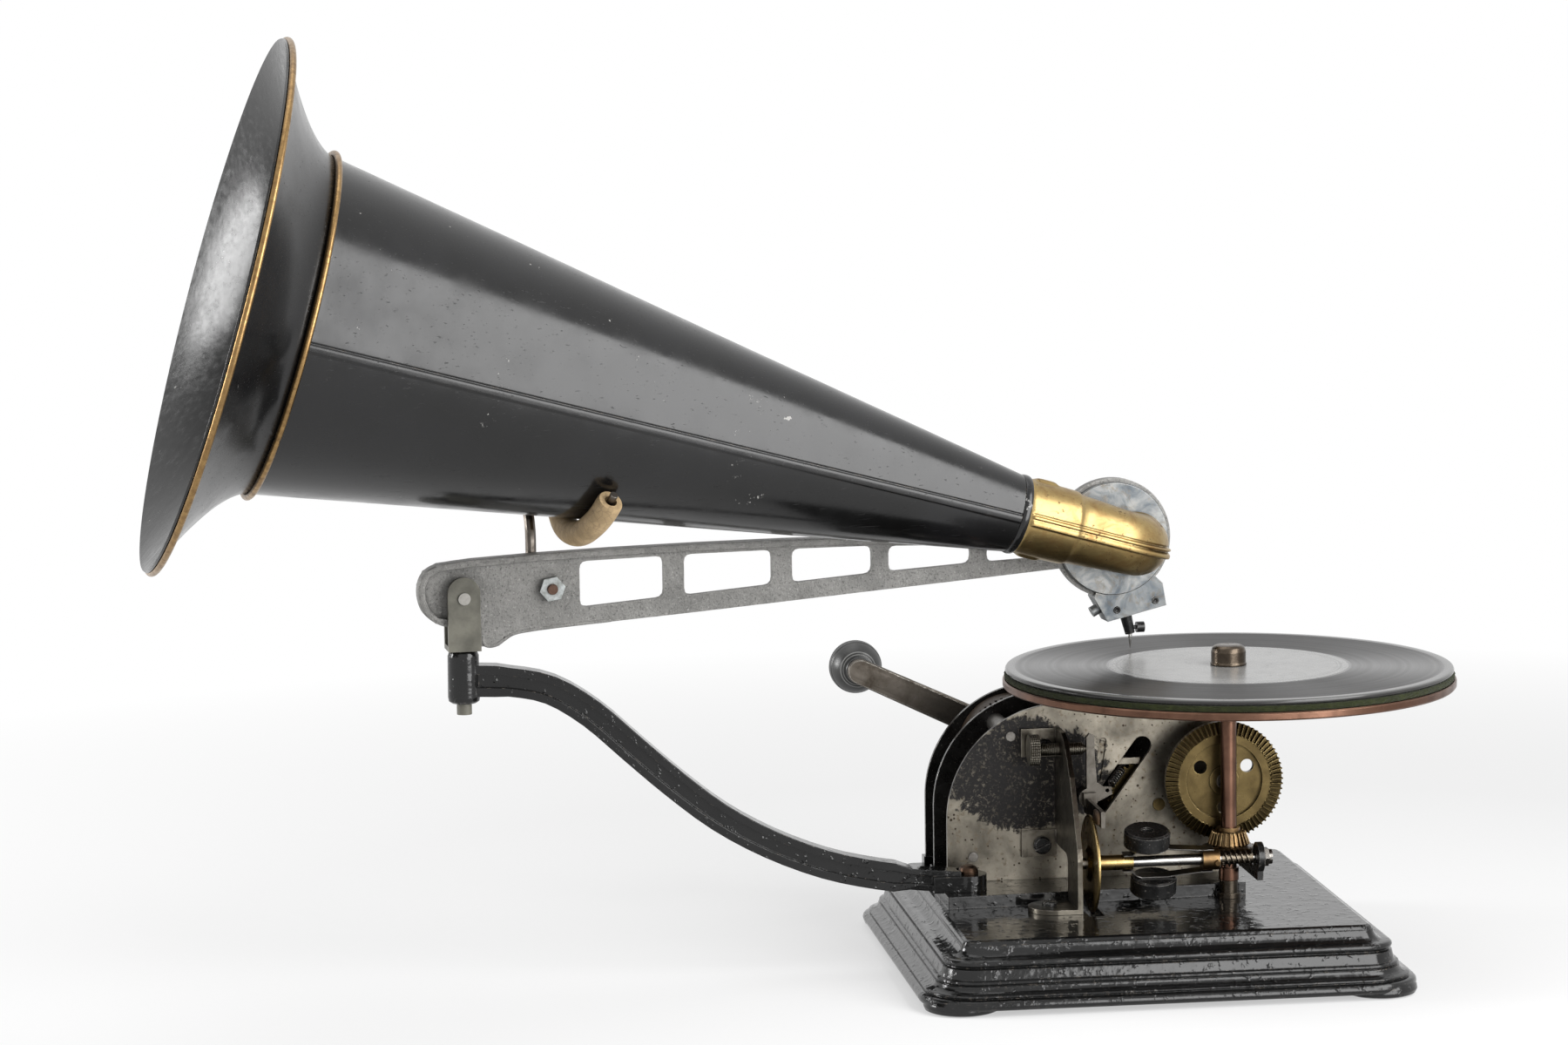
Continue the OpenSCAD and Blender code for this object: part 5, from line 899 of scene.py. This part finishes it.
def bead_grid(radius, along, thick, notch):
    """Round wire bent to a ring, slightly flattened, with a narrow butt joint at one angle."""
    angles = full_turn(300)
    around = full_turn(24)
    joint_wide, joint_deep = 0.5, 0.22
    joint = hump(signed(angles - notch) * radius, 0.0, joint_wide)
    r = thick * (1 - joint_deep * joint)[:, None]
    return in_horn(about_axis(radius + r * np.cos(around), angles[:, None], along + r * np.sin(around)))


def lug_screw_grid(along, down):
    """Small countersunk screw in the foot of the soundbox, turned about an axis that points away."""
    outline = eased([(0.02, 0.6), (0.5, 0.45), (0.8, 0.15), (1.25, 0.0), (1.5, 0.25), (1.4, 5.0),
                     (0.02, 5.0), (0.02, 0.6)], radius=0.15, steps=5)
    grid = turned(outline, full_turn(48))
    out = ELBOW_NECK + ELBOW_BEND
    axis_end = np.array([out * math.cos(HORN_RISE), 0.0, -out * math.sin(HORN_RISE)])
    lug = THROAT + axis_end + LUG_CORNER
    return in_arm(np.stack([grid[..., 0] + along, grid[..., 2], -down - grid[..., 1]], -1) + lug)


def ferrule_grid():
    """Rounded collar and sleeve at the throat: one closed outline turned round the horn's axis."""
    collar = eased([(13.6, -3.4), (15.9, -3.4), (16.25, -1.8), (15.9, -0.06), (14.7, -0.05),
                    (14.7, 7.9), (13.6, 7.9), (13.6, -3.4)], radius=0.6, steps=7)
    return in_horn(turned(collar, full_turn(160)))


def elbow_grid():
    """Brass elbow: a radius that steps down along a path that bends a quarter turn away from the viewer.

    Two rounded lips follow the seam on the outer and the inner side, and a flat lug stands above and below.
    """
    bend_r, neck, end = ELBOW_BEND, ELBOW_NECK, 16.0
    straight = np.linspace(3.46, neck, 120)
    turn = np.linspace(0.0, math.pi / 2.0, 60)[1:]
    outlet = np.linspace(bend_r, end, 12)[1:]
    path = np.concatenate([
        np.stack([0 * straight, 0 * straight, -straight], -1),
        np.stack([0 * turn, bend_r * (1 - np.cos(turn)), -neck - bend_r * np.sin(turn)], -1),
        np.stack([0 * outlet, outlet, 0 * outlet - neck - bend_r], -1)])
    run = np.concatenate([straight, neck + bend_r * turn, neck + bend_r * math.pi / 2 + outlet - bend_r])
    keys = [(3.4, 15.0), (3.8, 15.25), (5.5, 15.2), (23.4, 15.05), (24.6, 14.95), (25.4, 14.4),
            (27.6, 13.95), (43.0, 13.0), (50.0, 12.65), (65.0, 12.4), (65.4, 12.85), (67.2, 12.9),
            (68.2, 12.7)]
    outer = np.interp(run, [k[0] for k in keys], [k[1] for k in keys])
    for _ in range(3):
        outer[1:-1] = (outer[:-2] + outer[1:-1] + outer[2:]) / 3.0
    angles = seamed_angles(outer, reach=4.4, fine=60, count=150)
    side = signed(angles)
    arc = side * outer[:, None]
    far_arc = signed(side - math.pi) * outer[:, None]
    ends = band(run, 4.6, 64.6)[:, None]
    tip = 1.0 + 1.6 * hump(run, 56.0, 6.0)[:, None]
    lips = (0.62 * hump(arc, 1.15, 0.62, 4) + 0.85 * band(arc, -2.3, -0.25, 9.0, 4.0)
            - 0.3 * hump(arc, 2.4, 0.4))
    far_lips = 0.7 * band(far_arc, -1.8, 1.8)
    top = (np.abs(side) - math.pi / 2.0) * outer[:, None]
    lug = hump(run[:, None], 10.5, 4.6, 6) * hump(top, 0.0, 2.7, 6)
    dents = 0.10 * np.sin(3 * side + run[:, None] / 5.0) * np.cos(run[:, None] / 9.0 - side)
    radius = outer[:, None] + (lips * tip + far_lips + dents) * ends + lug
    out = carried(path, radius, angles, side=(1.0, 0.0, 0.0))
    inner = carried(path, outer - 1.0, angles, side=(1.0, 0.0, 0.0))
    return in_horn(np.concatenate([out, inner[::-1]]))


# Turntable group

def felt_grid(t):
    """Thick felt disc: a closed outline with a rounded edge, pushed out by soft random tufts."""
    r, low, high, hole = t.felt / MM, 115.66, 118.1, 3.5
    mid, half = (low + high) / 2.0, (high - low) / 2.0
    edge = np.linspace(-math.pi / 2, math.pi / 2, 26)
    rim = np.stack([r - half * 0.7 + half * 0.7 * np.cos(edge), mid + half * np.sin(edge)], -1)
    under = [(hole, low), (30.0, low), (70.0, low), (r - 4.0, low)]
    over = [(r - 3.0, high), (r - 6.0, high), (60.0, high), (20.0, high), (hole, high)]
    columns = 900
    grid = turned(np.concatenate([under, rim, over]), full_turn(columns))
    tufts = soft_random(len(rim), columns, seed=11)[..., None]
    tuft_height, tuft_limit = 0.11, 1.6
    edge_rows = slice(len(under), len(under) + len(rim))
    outward = unit(grid[edge_rows] * np.array([1.0, 1.0, 0.0]))
    grid[edge_rows] += outward * np.clip(tufts, -tuft_limit, tuft_limit) * tuft_height
    return on_spindle(grid)


def record_grid(t):
    """Pressed disc: raised rounded rim, shallow playing field and land round the label, turned."""
    r, low, high, hole = t.disc / MM, 118.2, 120.2, 3.5
    field = high - 0.05
    outline = eased([(hole, low), (60.0, low), (r - 1.2, low), (r - 0.1, low + 0.5), (r, low + 1.05),
                     (r - 0.45, high - 0.1), (r - 1.6, high), (r - 3.0, high - 0.01), (r - 3.9, field),
                     (53.5, field), (52.4, high - 0.02), (48.5, high - 0.02), (48.0, high), (20.0, high),
                     (4.1, high), (hole, high - 0.4), (hole, low)], radius=1.0, steps=6)
    angles = full_turn(480)
    grid = turned(outline, angles)
    warp = 0.02
    grid[..., 2] += warp * np.sin(2 * angles + 0.4) * (grid[..., 0] ** 2 + grid[..., 1] ** 2) / r ** 2
    return on_spindle(grid)


def nut_grid():
    """Holding nut: a turned outline with a foot ring, straight sides and a round shoulder."""
    low, high = (np.array(corner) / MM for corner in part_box("clamp_nut"))
    r, bottom, top, bore, axis = (high[0] - low[0]) / 2.0, low[2], high[2], 2.75, 0.02
    roof = top - 0.9
    outline = eased([(bore, bottom), (r, bottom), (r, bottom + 0.9), (r - 0.3, bottom + 1.2),
                     (r - 0.3, top - 2.6), (r - 0.75, top - 1.1), (r - 1.9, top - 0.3), (r - 3.6, top),
                     (axis, top), (axis, roof), (bore, roof), (bore, bottom)], radius=0.45, steps=8)
    return on_spindle(turned(outline, full_turn(160)))


def label_grid(t):
    """Paper disc with a hole: its height wrinkles a little where the paper was pressed."""
    r, low, high, hole, rows = t.label / MM, 120.19, 120.235, 3.6, 60
    rings = np.linspace(hole, r, rows)
    profile = np.concatenate([np.stack([rings, np.full(rows, high)], -1), [(r, low), (hole, low)]])
    angles = full_turn(300)
    grid = turned(profile, angles)
    depth = 0.008
    wrinkle = depth * np.sin(9 * angles[None, :] + rings[:, None] * 0.9) * np.sin(rings[:, None] / 3.1)
    grid[:rows, :, 2] += wrinkle
    return on_spindle(grid)


# Crank knob, cradle tube and brake pad

def knob_grid():
    """Turned knob: a neck ring, a ball with three fine grooves and a through hole, as one outline."""
    ball, middle, groove_deep, groove_wide = 11.25, 11.25, 0.38, 0.42
    polar = np.radians(np.linspace(-52.0, 78.0, 120))
    r, z = ball * np.cos(polar), middle + ball * np.sin(polar)
    for share in (0.36, 0.5, 0.64):
        r = r - groove_deep * hump(z, 2 * ball * share, groove_wide)
    neck = eased([(2.1, 0.0), (5.1, 0.0), (5.7, 0.8), (5.1, 1.75), (5.5, 2.0), (r[0], z[0])],
                 radius=0.4, steps=6)
    end = eased([(r[-1], z[-1]), (2.9, 22.45), (2.2, 22.3), (2.1, 21.6), (2.1, 0.0)], radius=0.3, steps=5)
    return on_crank(turned(np.concatenate([neck[:-1], np.stack([r, z], -1), end[1:]]), full_turn(150)))


def crank_grid():
    """Forged crank bar: a rounded box section, half round at both ends, wider towards its shaft."""
    length, lean = 64.0, math.radians(154.6)
    near, far, thick, setback, blunt, quarter = 5.3, 6.1, 2.04, 2.3, 0.03, math.pi / 2
    ends = np.concatenate([-near * np.cos(np.linspace(blunt, quarter, 40)),
                           np.linspace(0.0, length, 90)[1:-1],
                           length + far * np.sin(np.linspace(0.0, quarter - blunt, 40))])
    wide = near + (far - near) * np.clip(ends / length, 0.0, 1.0)
    wide = wide * np.sqrt(np.clip(1.0 - (np.clip(-ends, 0.0, None) / near) ** 2, 0.0, 1.0))
    wide = wide * np.sqrt(np.clip(1.0 - (np.clip(ends - length, 0.0, None) / far) ** 2, 0.0, 1.0))
    around = full_turn(72)
    c, n = np.cos(around)[None, :], np.sin(around)[None, :]
    wide = wide[:, None]
    flat = thick * (1.0 - 0.35 * np.exp(-wide / 1.2))
    square = 5
    section = (np.abs(c / wide) ** square + np.abs(n / flat) ** square) ** (-1.0 / square)
    across, away = section * c, section * n
    x = -ends[:, None] * math.cos(lean) - across * math.sin(lean)
    z = -ends[:, None] * math.sin(lean) + across * math.cos(lean)
    return np.stack([x, away - setback + 0 * x, z], -1) + KNOB_PLACE


def arm_bead(points, inset, thick, wide):
    """Cast bead along an outline of the arm: a rounded box section carried on it.

    The radius of the section is 1 / ((c / h)^6 + (s / w)^6)^(1/6) of its angle's cosine and sine.
    """
    line = smooth_path(points, 26 * len(points))
    step = unit(np.gradient(line, axis=0))
    middle = line + inset * np.stack([step[:, 1], -step[:, 0]], -1)
    path = np.stack([middle[:, 0], 0 * middle[:, 0], middle[:, 1]], -1)
    around = full_turn(64)
    section = (np.abs(np.cos(around) / thick) ** 6 + np.abs(np.sin(around) / wide) ** 6) ** (-1.0 / 6.0)
    run = np.concatenate([[0.0], np.cumsum(np.linalg.norm(np.diff(path, axis=0), axis=1))])
    from_end = np.minimum(run, run[-1] - run)
    close = 1.0 - 0.6 * np.exp(-from_end / 0.4)
    cast = 0.035 * np.sin(0.9 * run)[:, None] * np.cos(2.0 * around)[None, :]
    return in_arm(carried(path, close[:, None] * (section[None, :] + cast), around, side=(0.0, 1.0, 0.0)))


def cradle_tube_grid():
    """Old tube on the cradle wire: a ring arc with an uneven round section and cut ends."""
    start, turn = math.radians(122.0), math.radians(108.0)
    t = np.linspace(0.0, 1.0, 150)
    a = start + turn * t
    path = np.stack([CRADLE_RING * np.cos(a), CRADLE_RING * np.sin(a), 0 * a], -1)
    from_end = np.minimum(t, 1.0 - t) * turn * CRADLE_RING
    around = full_turn(40)
    tube, bore_radius, cut_round = 5.15, 2.5, 0.5
    outer = tube - cut_round * np.exp(-from_end / cut_round)
    turn_on, run = around[None, :], t[:, None]
    uneven = 0.06 * np.sin(2 * turn_on + 9.0 * run) + 0.05 * np.sin(31.0 * run + turn_on)
    out = carried(path, outer[:, None] + uneven, around, side=(0.0, 0.0, 1.0))
    bore = carried(path, np.full(len(t), bore_radius), around, side=(0.0, 0.0, 1.0))
    return in_cradle(np.concatenate([out, bore[::-1]]))


def pad_grid(low, high):
    """Rounded block: x, y, z are the half sizes times signed powers of sines and cosines."""
    u = np.linspace(-math.pi / 2, math.pi / 2, 42)[1:-1][:, None]
    v = full_turn(80)[None, :]

    squareness, fit = 0.35, 0.99

    def power(value):
        return np.sign(value) * np.abs(value) ** squareness

    block = np.stack([power(np.cos(u)) * power(np.cos(v)), power(np.cos(u)) * power(np.sin(v)),
                      power(np.sin(u)) * np.ones_like(v)], -1)
    return (low + high) / 2.0 + block * (high - low) / 2.0 * fit


# Operators

# Ring pieces: name, radius, place along the horn, thickness and angle of the butt joint
BEADS = (("joint_bead", 67.75, 297.0, 1.3, -2.2), ("rim_bead", 104.6, 325.4, 1.35, -2.4))
# Screws of the lug: name, place along the arm and down from the corner of the lug
LUG_SCREWS = (("lug_screw_left", 1.2, 29.2), ("lug_screw_right", 17.4, 26.0))
# Cast beads: name, outline, inset, half thickness and half width
ARM_BEADS = (("arm_rail", ARM_BACK, 1.0, 1.28, 4.1), ("arm_hook", ARM_HOOK, 0.5, 0.75, 1.65))
# Lamps: name, place, aim, width, height, name of its power in the stage settings, lean in degrees
LAMPS = (("softbox", (0.422, -0.527, 0.56), (-0.114, -0.077, 0.56), 0.55, 1.3, "key", 27.0),
         ("left_panel", (-1.28, 0.26, 0.38), (-0.33, -0.05, 0.25), 0.42, 0.4, "side", 0.0),
         ("overhead", (-0.3, 0.3, 1.5), (-0.05, 0.0, 0.1), 1.2, 0.9, "fill", 0.0))
CAMERA_PLACE = np.array([-351.435, -1696.049, 389.184])
WHITE = (1.0, 1.0, 1.0)
FLOOR_REACH = 9.0
FLOOR_LEVEL = -0.0002


class TM_OT_finishes(bpy.types.Operator):
    """Give every carried-over part of the frame its finish"""
    bl_idname = "talking_machine.finishes"
    bl_label = "Finishes"

    def execute(self, context):
        all_finishes(context.scene.tm_colours)
        finish_of = {node: finish for finish, nodes in NODES.items() for node in nodes.split()}
        for name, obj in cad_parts.items():
            material = bpy.data.materials[finish_of[name]]
            if not obj.data.materials:
                obj.data.materials.append(material)
            for slot in obj.material_slots:
                slot.material = material
        return {"FINISHED"}


class TM_OT_horn(bpy.types.Operator):
    """Make the cone with its folded seam and the flared bell"""
    bl_idname = "talking_machine.horn"
    bl_label = "Horn"

    def execute(self, context):
        h = context.scene.tm_horn
        piece("horn_cone_sheet", cone_grid(h), "sheet_japan", "arm", "black_sheet", ["horn_cone"])
        bell = piece("horn_bell_sheet", bell_grid(h), "sheet_japan", "arm", "black_sheet", ["horn_bell"])
        bell.data.materials.append(bpy.data.materials["inner_japan"])
        share = np.zeros(len(bell.data.polygons), np.int32)
        share[len(share) // 2:] = 1
        bell.data.polygons.foreach_set("material_index", share)
        return {"FINISHED"}


class TM_OT_throat(bpy.types.Operator):
    """Make the beads, the ferrule at the throat, the elbow with its lapped seam and the lug screws"""
    bl_idname = "talking_machine.throat"
    bl_label = "Beads, ferrule, elbow and lug screws"

    def execute(self, context):
        for name, *ring in BEADS:
            piece(name, bead_grid(*ring), "bead_brass", "arm", "brass", ["horn_beads"])
        piece("ferrule_collar", ferrule_grid(), "sheet_japan", "arm", "black_sheet", ["throat_ferrule"])
        piece("elbow_shells", elbow_grid(), "elbow_brass", "arm", "brass", ["horn_elbow"])
        for name, along, down in LUG_SCREWS:
            piece(name, lug_screw_grid(along, down), "blued_steel", "arm", "dark_steel", ["lug_screws"])
        return {"FINISHED"}


class TM_OT_disc(bpy.types.Operator):
    """Make the felt, the record, the nut that holds it and its bare label"""
    bl_idname = "talking_machine.disc"
    bl_label = "Felt, record, nut and label"

    def execute(self, context):
        t = context.scene.tm_table
        body = "turntable_group"
        piece("felt_disc", felt_grid(t), "felt_cloth", body, "felt", ["turntable_felt"], sharp=80.0)
        piece("shellac_record", record_grid(t), "shellac_disc", body, "shellac", ["record"])
        piece("holding_nut", nut_grid(), "nut_brown", body, "bronze", ["clamp_nut"])
        piece("record_label", label_grid(t), "label_paper", body, "shellac")
        return {"FINISHED"}


class TM_OT_handles(bpy.types.Operator):
    """Make the crank bar, the turned crank knob, the tube on the cradle wire and the brake pad"""
    bl_idname = "talking_machine.handles"
    bl_label = "Crank bar, knob, cradle tube and pad"

    def execute(self, context):
        piece("crank_bar", crank_grid(), "brown_steel", "crank_group", "steel", poles=True)
        piece("turned_knob", knob_grid(), "turned_wood", "knob", "black_wood", ["crank_knob"])
        piece("wire_tube", cradle_tube_grid(), "hide_tube", "arm", "tan_tube", ["cradle_tube"])
        low, high = (np.array(corner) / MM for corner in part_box("brake_pad"))
        piece("brake_felt", pad_grid(low, high), "brake_felt", "brake", "brown_felt", ["brake_pad"],
              poles=True)
        return {"FINISHED"}


class TM_OT_arm(bpy.types.Operator):
    """Make the cast beads that run along the arm"""
    bl_idname = "talking_machine.arm"
    bl_label = "Beads of the arm"

    def execute(self, context):
        for name, *bead in ARM_BEADS:
            piece(name, arm_bead(*bead), "raw_iron", "arm", "raw_casting", poles=True)
        return {"FINISHED"}


class TM_OT_stage(bpy.types.Operator):
    """Make the floor, the lamps and the camera"""
    bl_idname = "talking_machine.stage"
    bl_label = "Stage"

    def execute(self, context):
        settings = context.scene.tm_stage
        mesh = bpy.data.meshes.new("floor")
        corners = ((-1, -1), (1, -1), (1, 1), (-1, 1))
        mesh.from_pydata([(FLOOR_REACH * x, FLOOR_REACH * y, FLOOR_LEVEL) for x, y in corners], [],
                         [(0, 1, 2, 3)])
        floor = bpy.data.objects.new("floor", mesh)
        context.scene.collection.objects.link(floor)
        mesh.materials.append(floor_finish(settings))
        context.scene.world = studio_world(settings.sky)
        for name, place, aim, wide, high, power, lean in LAMPS:
            lamp(name, place, aim, wide, high, getattr(settings, power), lean)
        camera_at_photo(context)
        context.scene.view_settings.view_transform = "Standard"
        return {"FINISHED"}


def studio_world(sky):
    """Even light of the sky level; plain white to the camera and to mirroring or clear pieces."""
    world = bpy.data.worlds.new("studio")
    world.use_nodes = True
    tree = world.node_tree
    tree.nodes.clear()
    rays = add_node(tree, "LightPath").outputs
    mirrored = {0: rays["Is Glossy Ray"], 1: rays["Is Transmission Ray"]}
    mirrored = add_node(tree, "Math", mirrored, operation="MAXIMUM").outputs[0]
    seen = add_node(tree, "Math", {0: rays["Is Camera Ray"], 1: mirrored}, operation="MAXIMUM").outputs[0]
    level = add_node(tree, "MapRange", {"Value": seen, "To Min": sky, "To Max": 1.0}).outputs["Result"]
    light = add_node(tree, "Background", {"Color": WHITE, "Strength": level}).outputs[0]
    add_node(tree, "OutputWorld", {0: light})
    return world


def lamp(name, place, aim, wide, high, power, lean):
    """Soft rectangular lamp turned to its aim, its long side leaning to its right by the given degrees."""
    data = bpy.data.lights.new(name, "AREA")
    data.shape = "RECTANGLE"
    data.size = wide
    data.size_y = high
    data.energy = power
    obj = bpy.data.objects.new(name, data)
    obj.matrix_world = look_matrix(np.array(place), np.array(aim), math.radians(lean))
    obj.visible_camera = False
    bpy.context.scene.collection.objects.link(obj)


def look_matrix(place, aim, lean):
    """Matrix of something at a place whose -Z axis points to the aim, leaning about that axis."""
    back = unit(place - aim)
    right = unit(np.cross([0, 0, 1.0], back))
    up = np.cross(back, right)
    c, n = math.cos(lean), math.sin(lean)
    right, up = c * right - n * up, n * right + c * up
    m = np.eye(4)
    m[:3, 0], m[:3, 1], m[:3, 2], m[:3, 3] = right, up, back, place
    return Matrix(m.tolist())


def camera_at_photo(context):
    """Camera of the photograph: 100 mm lens on a 36 mm frame, placed by yaw, pitch and roll."""
    yaw, pitch, roll = 0.125005704, 0.121446240, 0.014025553
    forward = np.array([math.sin(yaw) * math.cos(pitch), math.cos(yaw) * math.cos(pitch), -math.sin(pitch)])
    right = np.array([math.cos(yaw), -math.sin(yaw), 0.0])
    down = np.cross(forward, right)
    c, n = math.cos(roll), math.sin(roll)
    right, down = c * right + n * down, -n * right + c * down
    m = np.eye(4)
    m[:3, 0], m[:3, 1], m[:3, 2] = right, -down, -forward
    m[:3, 3] = CAMERA_PLACE * MM
    data = bpy.data.cameras.new("photo")
    data.lens = 100.0
    data.sensor_width = 36.0
    data.sensor_fit = "HORIZONTAL"
    data.clip_end = 50.0
    camera = bpy.data.objects.new("photo", data)
    camera.matrix_world = Matrix(m.tolist())
    context.scene.collection.objects.link(camera)
    context.scene.camera = camera


def floor_finish(settings):
    """Plain pale floor that keeps the shadow near the object and turns even white further off."""
    f = Finish("floor_paper", specular=0.0)
    rays = f.node("LightPath").outputs
    white_from, white_to = 0.4, 0.85
    far = f.ranged(f.radius_from(f.coords), white_from, white_to)
    seen = f.maths("MAXIMUM", rays["Is Camera Ray"], rays["Is Glossy Ray"])
    share = f.times(seen, f.ranged(far, 0.0, 1.0, 0.5, 1.0))
    glow = f.node("Emission", {"Color": WHITE}).outputs[0]
    mix = f.node("MixShader", {0: share, 1: f.shader.outputs[0], 2: glow}).outputs[0]
    feed(f.tree, f.out.inputs[0], mix)
    grain = f.noise(3.0, 3)
    tone = f.blend(f.ranged(grain, 0.3, 0.7), tuple(settings.floor), scaled(settings.floor, 0.99))
    return f.surface(tone, 0.9)


class TM_PT_panel(bpy.types.Panel):
    """Buttons for each piece and the values that they use"""
    bl_label = "Talking machine"
    bl_space_type = "VIEW_3D"
    bl_region_type = "UI"
    bl_category = "Talking machine"

    def draw(self, context):
        layout = self.layout
        for operator in OPERATORS:
            layout.operator(operator.bl_idname)
        for group in (getattr(context.scene, name) for name in GROUPS):
            box = layout.box()
            for name in group.__annotations__:
                box.prop(group, name)


GROUPS = {"tm_colours": FinishColours, "tm_horn": HornSizes, "tm_table": TableSizes,
          "tm_stage": StageSettings}
OPERATORS = (TM_OT_finishes, TM_OT_horn, TM_OT_throat, TM_OT_disc, TM_OT_handles, TM_OT_arm, TM_OT_stage)
CLASSES = (*GROUPS.values(), *OPERATORS, TM_PT_panel)


def register():
    for cls in CLASSES:
        bpy.utils.register_class(cls)
    for name, group in GROUPS.items():
        setattr(bpy.types.Scene, name, bpy.props.PointerProperty(type=group))


def unregister():
    for name in GROUPS:
        delattr(bpy.types.Scene, name)
    for cls in reversed(CLASSES):
        bpy.utils.unregister_class(cls)


def main():
    register()
    bpy.ops.talking_machine.finishes()
    bpy.ops.talking_machine.horn()
    bpy.ops.talking_machine.throat()
    bpy.ops.talking_machine.disc()
    bpy.ops.talking_machine.handles()
    bpy.ops.talking_machine.arm()
    bpy.ops.talking_machine.stage()


if __name__ == "__main__":
    main()
